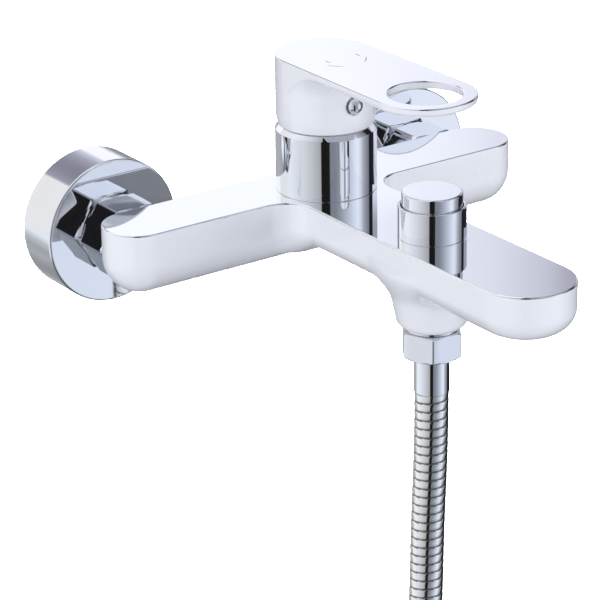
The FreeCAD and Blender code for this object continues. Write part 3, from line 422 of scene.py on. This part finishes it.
add_turned(
    "sleeve",
    [(19.45, BODY_TOP, 0), (SLEEVE_RADIUS, BODY_TOP, 0.35), (SLEEVE_RADIUS, SLEEVE_SHOULDER, 0.25)]
    + [(r, dome(r), 0) for r in (20.3, 19.8, 19.2, 18.4, 17.4, 16.2, 15.0, 13.5, 12.2)]
    + [(11.5, dome(11.5), 0.2), (11.5, dome(11.5, SLEEVE_WALL), 0.2)]
    + [(r, dome(r, SLEEVE_WALL), 0) for r in (13.5, 15.5, 17.5, 18.3)]
    + [(19.45, 38.3, 0), (19.45, BODY_TOP, 0)],
    along_z(MIXER_Y), "mixer", "cartridge_sleeve", segments=192,
)
add_turned(
    "knob_collar",
    [(12.35, BODY_TOP, 0), (13.5, BODY_TOP, 0.35), (13.5, 28.48, 0.45), (12.35, 28.48, 0.3),
     (12.35, 19.85, 0.2), (6.05, 19.85, 0.1), (6.05, 18.65, 0.1), (12.35, 18.65, 0.2),
     (12.35, BODY_TOP, 0)],
    along_z(DIVERTER_Y), "mixer", "diverter_collar", segments=160,
)
add_turned(
    "knob",
    [(3.05, 25.0, 0), (4.2, 25.0, 0.2), (4.2, 31.4, 0.3), (10.4, 31.4, 0.5), (10.4, 20.0, 0.2),
     (12.0, 20.0, 0.2), (12.0, 33.83, 0.7), (0.0, 33.83, 0)],
    along_z(DIVERTER_Y), "diverter", "diverter_knob", segments=160,
)
add_turned(
    "jet_ring",
    [(9.3, -4.2, 0), (9.3, -5.4, 0.2), (11.5, -5.4, 0.5), (11.5, 2.0, 0.2), (10.3, 2.0, 0.2),
     (10.3, -4.2, 0.1), (9.3, -4.2, 0)],
    along_z(JET_Y), "mixer", "aerator_housing", "jet_plastic", segments=128,
)
add_turned(
    "hose_union",
    [(5.5, -31.0, 0), (10.475, -31.0, 0.5), (10.475, -23.1, 0.2), (10.8, -23.1, 0.2),
     (10.8, -22.0, 0.2), (7.95, -22.0, 0), (7.95, -12.05, 0.2), (5.5, -12.05, 0), (5.5, -31.0, 0)],
    along_z(DIVERTER_Y), "mixer", "outlet_nipple", segments=128,
)
add_nut("coupling_nut", 22.6, -34.65, -23.2, 0.9, 7.25, along_z(DIVERTER_Y), "mixer", "hose_nut",
        turn=math.radians(-4.8), inner_top=10.525)

add_turned(
    "hose_sleeve",
    [(4.0, -50.4, 0), (7.2, -50.4, 0.35), (7.2, -33.5, 0.3), (10.2, -33.5, 0.1), (10.2, -32.5, 0.1),
     (4.0, -32.5, 0.2), (4.0, -50.4, 0)],
    along_z(DIVERTER_Y), "mixer", "hose_ferrule", segments=96,
)
end_sleeve = add_turned(
    "hose_end_sleeve",
    [(4.0, 0.0, 0), (7.2, 0.0, 0.35), (7.2, 17.0, 0.3), (10.2, 17.0, 0.1), (10.2, 18.0, 0.1),
     (4.0, 18.0, 0.2), (4.0, 0.0, 0)],
    END_PLACE, "mixer", "end_ferrule", axis=END_AXIS, segments=96,
)


def grip_ribs(radius, height, angles):
    """Shallow finger grooves round the cone of the hand nut."""
    depth = 0.35 if 20.2 < height < 27.5 and radius > 11 else 0.0
    return radius - depth * (0.5 + 0.5 * np.cos(angles * 24)) ** 4


end_grip = add_turned(
    "hand_nut",
    [(7.25, 11.0, 0), (10.0, 11.0, 0.5), (12.3, 20.0, 0.6), (12.3, 20.3, 0), (12.3, 24.0, 0),
     (12.3, 27.4, 0), (12.3, 29.0, 0.6), (10.525, 29.0, 0.4), (10.525, 19.5, 0), (10.775, 19.5, 0),
     (10.775, 16.95, 0), (7.25, 16.95, 0), (7.25, 11.0, 0)],
    END_PLACE, "hose_end_nut", "end_nut", axis=END_AXIS, segments=192, radius_at=grip_ribs,
)


def add_tie():
    """Strap round the three turns of the coil: a rounded loop of constant width."""
    tilt = math.radians(62.0)
    outward = np.array((math.cos(tilt), 0, math.sin(tilt)))
    along = np.array((-math.sin(tilt), 0, math.cos(tilt)))
    back = np.array((0, 1.0, 0))
    centre = np.array((0, COIL_FRONT_Y + COIL_STEP, COIL_CENTRE_Z)) + outward * COIL_RADIUS
    half_out, half_back, bend = 8.0, COIL_STEP + 8.0, 7.4
    loop = []
    for sx, sy, first in ((1, 1, 0), (-1, 1, 1), (-1, -1, 2), (1, -1, 3)):
        for k in range(9):
            a = (first + k / 8) * math.pi / 2
            corner = np.array(((half_out - bend) * sx, (half_back - bend) * sy))
            loop.append(corner + (bend * math.cos(a), bend * math.sin(a)))
    loop = np.array(loop)
    section = ((-4.5, 0.05), (-4.2, 0.0), (4.2, 0.0), (4.5, 0.05),
               (4.5, 0.75), (4.2, 0.8), (-4.2, 0.8), (-4.5, 0.75))
    rows = []
    for offset, thick in section:
        grown = loop + thick * loop / np.linalg.norm(loop, axis=1)[:, None]
        flat = np.outer(grown[:, 0], outward) + np.outer(grown[:, 1], back)
        rows.append(centre + flat + along * offset)
    count = len(loop)
    last = (len(rows) - 1) * count
    faces = grid_faces(len(rows), count)
    faces += [[last + c, last + (c + 1) % count, (c + 1) % count, c] for c in range(count)]
    return new_piece("strap", np.concatenate(rows), faces, "mixer", ("coil_tie",), "tie_plastic")


strap = add_tie()


# ---------------------------------------------------------------- cast body and lever


def surface(field, low, high, step):
    """Points and quads of the zero level of a field of x, y, z: a point for each cell of a grid
    that the level crosses, moved onto it. A level that runs out of the grid at its top or foot
    ends there in an open edge, half a step inside."""
    axes = [np.arange(a, b + step * 0.5, step) for a, b in zip(low, high)]
    value = field(*np.meshgrid(*axes, indexing="ij", sparse=True))
    inside = value < 0
    shape = np.array(value.shape) - 1
    total = np.zeros((*shape, 3))
    hits = np.zeros(shape)
    crossings = []
    for axis in range(3):
        a, b = [slice(None)] * 3, [slice(None)] * 3
        a[axis], b[axis] = slice(0, -1), slice(1, None)
        va, vb = value[tuple(a)], value[tuple(b)]
        crossed = inside[tuple(a)] != inside[tuple(b)]
        crossings.append(crossed)
        share = np.where(crossed, va / np.where(crossed, va - vb, 1), 0)
        others = [i for i in range(3) if i != axis]
        for corners in ((0, 0), (0, 1), (1, 0), (1, 1)):
            part = [slice(None)] * 3
            for other, corner in zip(others, corners):
                part[other] = slice(corner, crossed.shape[other] - 1 + corner)
            hit = crossed[tuple(part)]
            hits += hit
            total[..., axis] += hit * share[tuple(part)]
            for other, corner in zip(others, corners):
                total[..., other] += hit * corner
    cells = np.argwhere(hits > 0)
    number = np.full(tuple(shape), -1)
    number[tuple(cells.T)] = np.arange(len(cells))
    points = total[tuple(cells.T)] / hits[tuple(cells.T)][:, None] + cells
    points = points * step + np.array(low)
    quads = []
    for axis, crossed in enumerate(crossings):
        n1, n2 = (axis + 1) % 3, (axis + 2) % 3
        found = np.argwhere(crossed)
        kept = (found[:, n1] > 0) & (found[:, n2] > 0)
        kept &= (found[:, n1] < shape[n1]) & (found[:, n2] < shape[n2])
        quad = []
        for d1, d2 in ((-1, -1), (0, -1), (0, 0), (-1, 0)):
            cell = found[kept].copy()
            cell[:, n1] += d1
            cell[:, n2] += d2
            quad.append(number[tuple(cell.T)])
        quads.append(np.stack(quad, 1))
    for _ in range(4):
        grad = slope(field, points)
        points -= grad * (field(*points.T) / np.maximum((grad**2).sum(1), 1e-6))[:, None]
    for layer in (0, shape[2] - 1):
        points[cells[:, 2] == layer, 2] = low[2] + (layer + 0.5) * step
    return points, np.concatenate(quads)


def slope(field, points):
    """Gradient of a field at points."""
    out = np.zeros_like(points)
    for i in range(3):
        d = np.zeros(3)
        d[i] = 0.02
        out[:, i] = (field(*(points + d).T) - field(*(points - d).T)) / 0.04
    return out


def round_union(a, b, r):
    """Union of two fields with a fillet of radius r between them."""
    reach = np.hypot(np.maximum(r - a, 0), np.maximum(r - b, 0))
    return np.maximum(r, np.minimum(a, b)) - reach


def round_cut(a, b, r):
    """Field a without field b, the edge between them rounded by r."""
    reach = np.hypot(np.maximum(r + a, 0), np.maximum(r - b, 0))
    return np.minimum(-r, np.maximum(a, -b)) + reach


def rounded_foot(side, over_foot, r):
    """Field of an upright shape: its wall at side = 0, its foot at over_foot = 0, rounded by r."""
    a, b = side + r, r - over_foot
    return np.minimum(np.maximum(a, b), 0) + np.hypot(np.maximum(a, 0), np.maximum(b, 0)) - r


def open_loops(quads, wanted):
    """Closed chains of points along the open edges of a mesh, among the wanted points."""
    edges = np.concatenate([quads[:, [k, (k + 1) % 4]] for k in range(4)])
    _, where, count = np.unique(np.sort(edges, 1), axis=0, return_index=True, return_counts=True)
    beside = {}
    for a, b in edges[where[count == 1]].tolist():
        if wanted[a] and wanted[b]:
            beside.setdefault(a, []).append(b)
            beside.setdefault(b, []).append(a)
    loops = []
    while beside:
        before, here = None, next(iter(beside))
        loop = []
        while here in beside:
            loop.append(here)
            ahead = beside.pop(here)
            before, here = here, ahead[0] if ahead[0] != before else ahead[1]
        loops.append(loop)
    return sorted(loops, key=len, reverse=True)


class Shell:
    """Points and faces of a piece, with a material number and a flat mark for each face."""

    def __init__(self, points, faces):
        self.points = [tuple(p) for p in points]
        self.faces, self.looks = [], []
        self.link(faces)

    def link(self, faces, look=(0, False)):
        """Add faces that all have one look."""
        self.faces += [[int(i) for i in face] for face in faces]
        self.looks += [look] * len(faces)

    def ring(self, points):
        """Add points and give their numbers."""
        first = len(self.points)
        self.points += [tuple(p) for p in points]
        return list(range(first, len(self.points)))

    def circle(self, radius, y, level, count=96):
        """Add a level ring of points about an upright axis."""
        a = np.arange(count) / count * 2 * math.pi
        levels = np.full(count, level)
        return self.ring(np.stack([radius * np.cos(a), y + radius * np.sin(a), levels], 1))

    def wall(self, one, other, look=(0, False)):
        """Add the band of faces between two rings."""
        pairs = list(zip(one, other))
        ahead = pairs[1:] + pairs[:1]
        self.link([[a, b, over_b, over_a] for (a, over_a), (b, over_b) in zip(pairs, ahead)], look)

    def rim(self, loop, field, bend, look):
        """Rings that round the top edge over a loop, leaning inwards by a quarter of a circle."""
        start = np.array([self.points[i] for i in loop])
        inward = -slope(field, start) * (1, 1, 0)
        inward /= np.linalg.norm(inward, axis=1)[:, None]
        for k in range(1, 5):
            a = k * math.pi / 8
            lean = inward * bend * (1 - math.cos(a))
            over = self.ring(start + lean + np.array((0, 0, bend * math.sin(a))))
            self.wall(loop, over, look)
            loop = over
        return loop

    def lid(self, loops, look=(0, True)):
        """Flat faces between an outer loop and the holes in it."""
        rings = [[Vector(self.points[i]) for i in loop] for loop in loops]
        index = [i for loop in loops for i in loop]
        self.link([[index[i] for i in face] for face in tessellate_polygon(rings)], look)

    def piece(self, name, body, node, slot):
        """The finished mesh object, in place of a node."""
        points = np.array(self.points) + (0, 0, RISE)
        return new_piece(name, points, self.faces, body, (node,), slot, self.looks)


MIRROR = (1, False)
MIRROR_FLAT = (1, True)
BODY_BEND = 0.6
ARM_Y, ARM_RADIUS, ARM_REACH = -55.07, 14.73, 84.2
ARM_LEVEL = BODY_TOP - 28.1 + ARM_RADIUS


def body_field(x, y, z):
    """Round-bottomed arms, the spout's tongue with a rounded underside, and the hose boss."""
    beyond = np.maximum(np.abs(x) - ARM_REACH, 0)
    arms = np.sqrt(beyond**2 + (y - ARM_Y) ** 2 + np.minimum(z - ARM_LEVEL, 0) ** 2) - ARM_RADIUS
    spine = np.clip(y, -192.2, -60.24)
    spout = rounded_foot(np.hypot(x, y - spine) - 19.9, z + 4.4, 9.5)
    side = np.hypot(x, y - DIVERTER_Y) - (14.7 + 0.20 * np.maximum(z + 17.0, -5))
    boss = np.maximum(rounded_foot(side, z + 22.0, 3.0), z - 2.0)
    fillet = 0.01 + 12.0 * np.clip((-57.0 - y) / 9.0, 0, 1)
    return round_union(round_union(arms, spout, fillet), boss, 6.5)


CHAMBER_RADIUS, BORE_RADIUS = 17.6, 8.9
NECK_RADIUS, NECK_TOP = 19.4, 38.0


def add_body():
    """The cast body with its mirrored top, the neck that holds the cartridge, and its bores."""
    step = 1.0
    rim_start = BODY_TOP - BODY_BEND
    foot = rim_start - (round((rim_start + 24.0) / step) + 0.5) * step
    points, quads = surface(body_field, (-101, -214, foot), (101, -38, rim_start + step / 2), step)
    shell = Shell(points, quads)
    outer = open_loops(quads, np.abs(points[:, 2] - rim_start) < 0.001)[0]
    outer = shell.rim(outer, body_field, BODY_BEND, MIRROR)
    chamber = shell.circle(CHAMBER_RADIUS, MIXER_Y, BODY_TOP)
    chamber_floor = shell.circle(CHAMBER_RADIUS, MIXER_Y, 9.5)
    bore = shell.circle(BORE_RADIUS, DIVERTER_Y, BODY_TOP)
    bore_floor = shell.circle(BORE_RADIUS, DIVERTER_Y, -2.0)
    neck = shell.circle(NECK_RADIUS, MIXER_Y, BODY_TOP)
    neck_top = shell.circle(NECK_RADIUS, MIXER_Y, NECK_TOP)
    neck_mouth = shell.circle(CHAMBER_RADIUS, MIXER_Y, NECK_TOP)
    shell.lid([outer, neck, bore], MIRROR_FLAT)
    shell.wall(neck, neck_top)
    shell.wall(neck_top, neck_mouth)
    shell.wall(neck_mouth, chamber)
    shell.wall(chamber, chamber_floor)
    shell.lid([chamber_floor])
    shell.wall(bore, bore_floor)
    shell.lid([bore_floor])
    return sharpen(shell.piece("mixer_body", "mixer", "body_casting", "white_enamel"), 40)


BELL_FOOT, LEVER_TOP = 43.75, 72.29
LEVER_BEND = 0.5
BALL_LEVEL = 55.0
GRIP_Y = -129.92


def lever_field(x, y, z):
    """A flat tapering plate with a finger hole, blended into the round bell over the pivot."""
    lean = 0.64 / (MIXER_Y - GRIP_Y)
    along = np.clip((MIXER_Y - y + np.abs(x) * lean) / (MIXER_Y - GRIP_Y), 0, 1)
    plan = np.hypot(x, y - MIXER_Y - along * (GRIP_Y - MIXER_Y)) - (20.27 + along * 0.64)
    plate = rounded_foot(plan, z - (LEVER_TOP - 3.2), 1.3)
    bell = np.hypot(x, y - MIXER_Y) - 20.27 + 0.77 * np.clip((BELL_FOOT + 4.5 - z) / 4.5, 0, 1) ** 1.6
    whole = np.maximum(round_union(plate, bell, 10.0), plan)
    whole = round_cut(whole, np.hypot(x, y + 130.85) - 14.56, 0.7)
    recess = np.maximum(np.hypot(x, z - BALL_LEVEL) - 3.95, y - MIXER_Y + 17.1)
    return round_cut(whole, recess, 0.45)


def add_lever():
    """The lever with its mirrored top, and the hollow of its bell."""
    rise = LEVER_TOP - LEVER_BEND - BELL_FOOT
    step = rise / 48
    low = (-22.2, -152.4, BELL_FOOT - step / 2)
    high = (22.2, -43.4, LEVER_TOP - LEVER_BEND + step / 2)
    points, quads = surface(lever_field, low, high, step)
    shell = Shell(points, quads)
    loops = open_loops(quads, points[:, 2] > LEVER_TOP - LEVER_BEND - 0.001)
    shell.lid([shell.rim(loop, lever_field, LEVER_BEND, MIRROR) for loop in loops], MIRROR_FLAT)
    foot = open_loops(quads, points[:, 2] < BELL_FOOT + 0.001)[0]
    mouth, ceiling = shell.circle(18.8, MIXER_Y, BELL_FOOT), shell.circle(18.8, MIXER_Y, 51.7)
    shell.lid([foot, mouth])
    shell.wall(mouth, ceiling)
    shell.lid([ceiling])
    return sharpen(shell.piece("lever_handle", "lever", "handle", "white_enamel"), 40)


body = add_body()
lever = add_lever()


def add_ball():
    """The round cover of the set screw in the front of the lever's bell, on its shank."""
    half = [(3.3 * math.sin(math.pi * k / 28), -3.3 * math.cos(math.pi * k / 28), 0) for k in range(29)]
    ball = turned(half, (0, MIXER_Y - 19.87, BALL_LEVEL + RISE), axis=(0, -1, 0), segments=48)
    shank = turned([(0, 15.9, 0), (2.45, 15.9, 0), (2.45, 19.0, 0), (0, 19.0, 0)],
                   (0, MIXER_Y, BALL_LEVEL + RISE), axis=(0, -1, 0), segments=48)
    return new_piece("ball_cover", *joined(ball, shank), "lever", ("screw_cover",), "chrome_plate")


def add_marks():
    """Plain grey strokes on top of the handle, for its warm and cold sides."""
    points, faces = [], []
    steps = 16
    for radius, start, end in ((10.0, 201, 241), (10.0, -61, -21), (6.6, 163, 197), (8.2, -15, 13)):
        first = len(points)
        for k in range(steps + 1):
            turn = math.radians(start + (end - start) * k / steps)
            half = 0.24 * math.sin(0.3 + (math.pi - 0.6) * k / steps)
            for reach, level in ((-half, -0.05), (half, -0.05), (half, 0.04), (-half, 0.04)):
                x = (radius + reach) * math.cos(turn)
                y = MIXER_Y - 11 + (radius + reach) * math.sin(turn)
                points.append((x, y, LEVER_TOP + RISE + level))
        faces += grid_faces(steps + 1, 4, first)
        faces += [list(range(end_row, end_row + 4)) for end_row in (first, first + 4 * steps)]
    return new_piece("handle_marks", points, faces, "lever", slot="cartridge_plastic")


add_ball()
add_marks()


# ---------------------------------------------------------------- finishes


def finish(name, colours, roughness, grain, relief=0.0, relief_grain=0.0, metallic=0.0, coat=0.0,
           stretch=(1, 1, 1)):
    """A procedural finish: two colours mottled by noise, uneven roughness and a slight relief."""
    made = bpy.data.materials.new(name)
    made.use_nodes = True
    nodes, links = made.node_tree.nodes, made.node_tree.links
    shader = nodes["Principled BSDF"]
    shader.inputs["Metallic"].default_value = metallic
    shader.inputs["Coat Weight"].default_value = coat
    shader.inputs["Coat Roughness"].default_value = 0.03
    place = nodes.new("ShaderNodeTexCoord")
    scale = nodes.new("ShaderNodeMapping")
    scale.inputs["Scale"].default_value = stretch
    links.new(place.outputs["Object"], scale.inputs["Vector"])
    mottle = nodes.new("ShaderNodeTexNoise")
    mottle.inputs["Scale"].default_value = grain
    mottle.inputs["Detail"].default_value = 5.0
    links.new(scale.outputs["Vector"], mottle.inputs["Vector"])
    mix = nodes.new("ShaderNodeMix")
    mix.data_type = "RGBA"
    mix.inputs[6].default_value = (*colours[0], 1)
    mix.inputs[7].default_value = (*colours[1], 1)
    links.new(mottle.outputs["Fac"], mix.inputs[0])
    links.new(mix.outputs[2], shader.inputs["Base Color"])
    level = nodes.new("ShaderNodeMapRange")
    level.inputs["From Min"].default_value = 0.3
    level.inputs["From Max"].default_value = 0.7
    level.inputs["To Min"].default_value, level.inputs["To Max"].default_value = roughness
    links.new(mottle.outputs["Fac"], level.inputs["Value"])
    links.new(level.outputs["Result"], shader.inputs["Roughness"])
    if relief:
        ripple = nodes.new("ShaderNodeTexNoise")
        ripple.inputs["Scale"].default_value = relief_grain
        ripple.inputs["Detail"].default_value = 2.0
        links.new(scale.outputs["Vector"], ripple.inputs["Vector"])
        bump = nodes.new("ShaderNodeBump")
        bump.inputs["Strength"].default_value = 1.0
        bump.inputs["Distance"].default_value = relief
        links.new(ripple.outputs["Fac"], bump.inputs["Height"])
        links.new(bump.outputs["Normal"], shader.inputs["Normal"])
    return made


FINISHES = {
    name: finish(name, *looks, **options)
    for name, looks, options in (
        ("chrome_plate", (((0.93, 0.94, 0.96), (0.89, 0.90, 0.93)), (0.02, 0.05), 60),
         {"metallic": 1.0, "relief": 2e-6, "relief_grain": 90}),
        ("white_enamel", (((0.865, 0.88, 0.925), (0.84, 0.855, 0.90)), (0.20, 0.30), 30),
         {"relief": 2e-6, "relief_grain": 45, "coat": 0.8}),
        ("hose_metal", (((0.97, 0.96, 0.935), (0.91, 0.90, 0.875)), (0.06, 0.14), 250),
         {"metallic": 1.0, "relief": 2e-6, "relief_grain": 900}),
        ("raw_brass", (((0.62, 0.42, 0.16), (0.50, 0.33, 0.12)), (0.28, 0.42), 120),
         {"metallic": 1.0, "relief": 1e-5, "relief_grain": 500}),
        ("steel", (((0.60, 0.60, 0.61), (0.50, 0.50, 0.52)), (0.22, 0.36), 80),
         {"metallic": 1.0, "relief": 6e-6, "relief_grain": 300, "stretch": (1, 1, 14)}),
        ("black_rubber", (((0.020, 0.020, 0.021), (0.032, 0.032, 0.034)), (0.55, 0.75), 200),
         {"relief": 2e-5, "relief_grain": 1500}),
        ("disc_ceramic", (((0.84, 0.82, 0.78), (0.78, 0.76, 0.72)), (0.12, 0.2), 150), {}),
        ("cartridge_plastic", (((0.70, 0.71, 0.72), (0.62, 0.63, 0.65)), (0.42, 0.55), 120),
         {"relief": 1e-5, "relief_grain": 900}),
        ("jet_plastic", (((0.020, 0.021, 0.023), (0.035, 0.036, 0.040)), (0.2, 0.32), 150),
         {"relief": 1e-5, "relief_grain": 900}),
        ("tie_plastic", (((0.80, 0.81, 0.82), (0.74, 0.75, 0.76)), (0.38, 0.5), 150),
         {"relief": 2e-5, "relief_grain": 1200}),
    )
}
TOP_MIRROR = finish("top_mirror", ((0.95, 0.955, 0.97), (0.92, 0.925, 0.95)), (0.015, 0.04), 25,
                    metallic=1.0, relief=1.5e-6, relief_grain=60)
# Darker metal for the hose's groove faces: painted shade where the grooves lie in shadow.
PAINTED_GROOVE_SHADE = finish("painted_groove_shade", ((0.34, 0.33, 0.32), (0.24, 0.23, 0.225)), (0.35, 0.5), 400,
                      metallic=1.0)

for row in frame["record"]["subparts"]:
    mesh = frame["nodes"][row["node"]].data
    mesh.materials.clear()
    mesh.materials.append(FINISHES[row["material_slot"]])
for piece in bpy.data.objects:
    if piece.type == "MESH" and "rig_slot" in piece:
        piece.data.materials.append(FINISHES[piece["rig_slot"]])
        if piece in (body, lever):
            piece.data.materials.append(TOP_MIRROR)
# The hose's groove faces take the darker metal, painted shade in its grooves.
hose.data.materials.append(PAINTED_GROOVE_SHADE)


# ---------------------------------------------------------------- studio

FLOOR = -0.45
DOME_RADIUS = 60.0
WALLS = np.array((
    # degrees to the right of the camera, then red, green and blue
    (-180, 0.40, 0.41, 0.43), (-150, 0.42, 0.43, 0.45), (-134, 0.44, 0.46, 0.48), (-121, 0.37, 0.39, 0.42),
    (-116, 0.52, 0.55, 0.59), (-113, 0.82, 0.86, 0.91), (-92, 0.88, 0.92, 0.98), (-75, 0.80, 0.84, 0.90),
    (-58, 0.72, 0.74, 0.80), (-45, 0.64, 0.66, 0.71), (-30, 0.54, 0.55, 0.59), (-18, 0.44, 0.45, 0.47),
    (-13, 0.40, 0.40, 0.41), (-11, 0.010, 0.010, 0.010), (6.5, 0.012, 0.012, 0.014), (9, 0.22, 0.23, 0.26),
    (20, 0.22, 0.24, 0.29), (32, 0.32, 0.35, 0.42), (44, 0.46, 0.50, 0.58), (56, 0.60, 0.66, 0.77),
    (68, 0.76, 0.82, 0.95), (76, 0.82, 0.88, 0.99), (84, 0.66, 0.70, 0.78), (92, 0.40, 0.42, 0.48),
    (104, 0.25, 0.26, 0.31), (111, 0.18, 0.19, 0.22), (114, 0.012, 0.013, 0.018), (148, 0.02, 0.022, 0.03),
    (160, 0.18, 0.20, 0.24), (180, 0.30, 0.31, 0.34),
))


def surroundings(side, up):
    """Colour of the studio round the object, by degrees to the right of the camera and degrees
    above the horizon: walls with dark strips at the camera and beyond its right side, a pale panel
    at the far left, and a white wall at the back that turns grey to the right and overhead."""
    walls = np.stack([np.interp(side, WALLS[:, 0], WALLS[:, k]) for k in (1, 2, 3)], -1)
    walls = walls * np.interp(up, (-60, -40, -32, 90), (0.3, 0.35, 1.0, 1.0))[..., None]
    left = np.interp(side, (-129, -127, -108, -100), (0, 1, 1, 0)) * np.interp(up, (-14, -6), (0, 1))
    walls = walls * (1 - left[..., None]) + 0.86 * left[..., None]
    rightward = (180 - side) % 360
    rightward = np.where(rightward > 180, rightward - 360, rightward)
    over_arms = np.interp(rightward, (0.5, 2.0, 3.3, 3.9, 4.3, 5.5),
                          (1.06, 1.0, 0.93, 0.87, 0.80, 0.78))
    over_spout = np.interp(rightward, (0.5, 2.1, 4.05, 4.45, 4.84, 5.25, 5.57, 5.75, 6.3),
                           (1.06, 0.87, 0.80, 0.755, 0.69, 0.625, 0.555, 0.47, 0.36))
    level = np.interp(up, (20.3, 20.6), (0, 1))
    bright = over_arms * (1 - level) + over_spout * level
    bright *= np.interp(up, (22.3, 25, 30, 36, 38.5, 39), (1.0, 0.66, 0.40, 0.23, 0.12, 1.0))
    bright = bright[..., None]
    back = bright * (np.array((0.95, 0.97, 1.07)) + (1 - bright) * np.array((0, 0, 0.17)))
    share = np.interp(np.abs(side), (127, 130), (0, 1)) * np.interp(up, (0, 8), (0, 1))
    return walls * (1 - share[..., None]) + back * share[..., None]


def paint(mesh, colours):
    """Light of a studio surface, point by point."""
    layer = mesh.color_attributes.new("light", "FLOAT_COLOR", "POINT")
    layer.data.foreach_set("color", np.concatenate([colours, np.ones((len(colours), 1))], 1).ravel())


def reflected_only(name, mesh):
    """A glowing stage object that is seen only in reflections and lights nothing else."""
    glow = bpy.data.materials.new(f"{name}_light")
    glow.use_nodes = True
    nodes, links = glow.node_tree.nodes, glow.node_tree.links
    nodes.clear()
    read = nodes.new("ShaderNodeVertexColor")
    read.layer_name = "light"
    emit = nodes.new("ShaderNodeEmission")
    out = nodes.new("ShaderNodeOutputMaterial")
    links.new(read.outputs["Color"], emit.inputs["Color"])
    links.new(emit.outputs["Emission"], out.inputs["Surface"])
    glow.cycles.emission_sampling = "NONE"
    mesh.materials.append(glow)
    thing = bpy.data.objects.new(name, mesh)
    bpy.context.scene.collection.objects.link(thing)
    thing.visible_camera = thing.visible_diffuse = thing.visible_shadow = False
    thing.visible_transmission = thing.visible_volume_scatter = False


def add_card():
    """A grey card high at the front right, which the union nuts and wall plates mirror."""
    centre, across = np.array((0.097, -0.343)), np.array((0.855, 0.519))
    half, low, high = 0.075, 0.156, 0.25
    left, right = centre - across * half, centre + across * half
    mesh = bpy.data.meshes.new("card")
    mesh.from_pydata([(*left, low), (*right, low), (*right, high), (*left, high)], [], [(0, 1, 2, 3)])
    paint(mesh, np.array([(0.17, 0.185, 0.225)] * 4))
    reflected_only("card", mesh)


def add_dome():
    """A large ball of light round the studio, seen only in reflections."""
    near_back = np.arange(170, 180, 0.25)
    side = np.radians(np.concatenate([-near_back[::-1], np.arange(-169, 170, 1.0), near_back, [180]]))
    levels = [np.arange(-88, 16, 2.0), np.arange(16, 28, 0.25), np.arange(28, 89, 2.0)]
    up = np.radians(np.concatenate(levels))
    level, turn = np.meshgrid(up, side, indexing="ij")
    azimuth = CAMERA_AZIMUTH + turn
    flat = np.cos(level)
    points = np.stack([np.sin(azimuth) * flat, -np.cos(azimuth) * flat, np.sin(level)], -1)
    rows, columns = level.shape
    faces = grid_faces(rows, columns)
    faces.append(list(range(columns)))
    faces.append([(rows - 1) * columns + c for c in range(columns)])
    mesh = bpy.data.meshes.new("dome")
    mesh.from_pydata((points.reshape(-1, 3) * DOME_RADIUS).tolist(), [], faces)
    paint(mesh, surroundings(np.degrees(turn), np.degrees(level)).reshape(-1, 3))
    reflected_only("dome", mesh)


def add_floor():
    """White paper under the object, with a small glow of its own. It is seen by the camera, but it
    neither mirrors nor bounces light and casts no shadow."""
    half = 6
    corners = [(x * half, y * half, FLOOR) for x, y in ((-1, -1), (1, -1), (1, 1), (-1, 1))]
    mesh = bpy.data.meshes.new("floor")
    mesh.from_pydata(corners, [], [(0, 1, 2, 3)])
    paper = finish("floor_paper", ((0.97, 0.97, 0.97), (0.95, 0.95, 0.95)), (0.7, 0.9), 3,
                   relief=1e-4, relief_grain=40)
    shader = paper.node_tree.nodes["Principled BSDF"]
    shader.inputs["Emission Color"].default_value = (1, 1, 1, 1)
    shader.inputs["Emission Strength"].default_value = 0.6
    mesh.materials.append(paper)
    floor = bpy.data.objects.new("floor", mesh)
    bpy.context.scene.collection.objects.link(floor)
    floor.visible_glossy = floor.visible_diffuse = floor.visible_shadow = False


def add_light(name, place, aim, size, watts, spread=180):
    """A round lamp that isn't seen in reflections."""
    data = bpy.data.lights.new(name, "AREA")
    data.shape, data.size, data.energy, data.spread = "DISK", size, watts, math.radians(spread)
    light = bpy.data.objects.new(name, data)
    light.location = place
    light.rotation_euler = (Vector(place) - Vector(aim)).to_track_quat("Z", "Y").to_euler()
    bpy.context.scene.collection.objects.link(light)
    light.visible_glossy = False


def add_world():
    """Even light all round, darker from behind the wall plates and unseen in reflections."""
    world = bpy.data.worlds.new("studio")
    bpy.context.scene.world = world
    world.use_nodes = True
    nodes, links = world.node_tree.nodes, world.node_tree.links
    ground = nodes["Background"]
    ground.inputs["Color"].default_value = (0.94, 0.965, 1.04, 1)
    heading = nodes.new("ShaderNodeTexCoord")
    parts = nodes.new("ShaderNodeSeparateXYZ")
    level = nodes.new("ShaderNodeMapRange")
    for name, value in zip(("From Min", "From Max", "To Min", "To Max"), (-0.4, 0.9, 0.62, 0.18)):
        level.inputs[name].default_value = value
    links.new(heading.outputs["Generated"], parts.inputs["Vector"])
    links.new(parts.outputs["Y"], level.inputs["Value"])
    links.new(level.outputs["Result"], ground.inputs["Strength"])
    world.cycles_visibility.glossy = False


add_dome()
add_card()
add_floor()
add_world()
add_light("key", (-2.8, -0.75, 0.2), (0, -0.1, 0), 1.6, 40)
add_light("fill", (1.9, -1.9, 0.2), (0, -0.1, 0), 2.0, 31)
add_light("floor_light", (0.80, 1.15, 0.55), (0.80, 1.15, FLOOR), 1.9, 34, spread=80)
bpy.context.scene.view_settings.view_transform = "Standard"
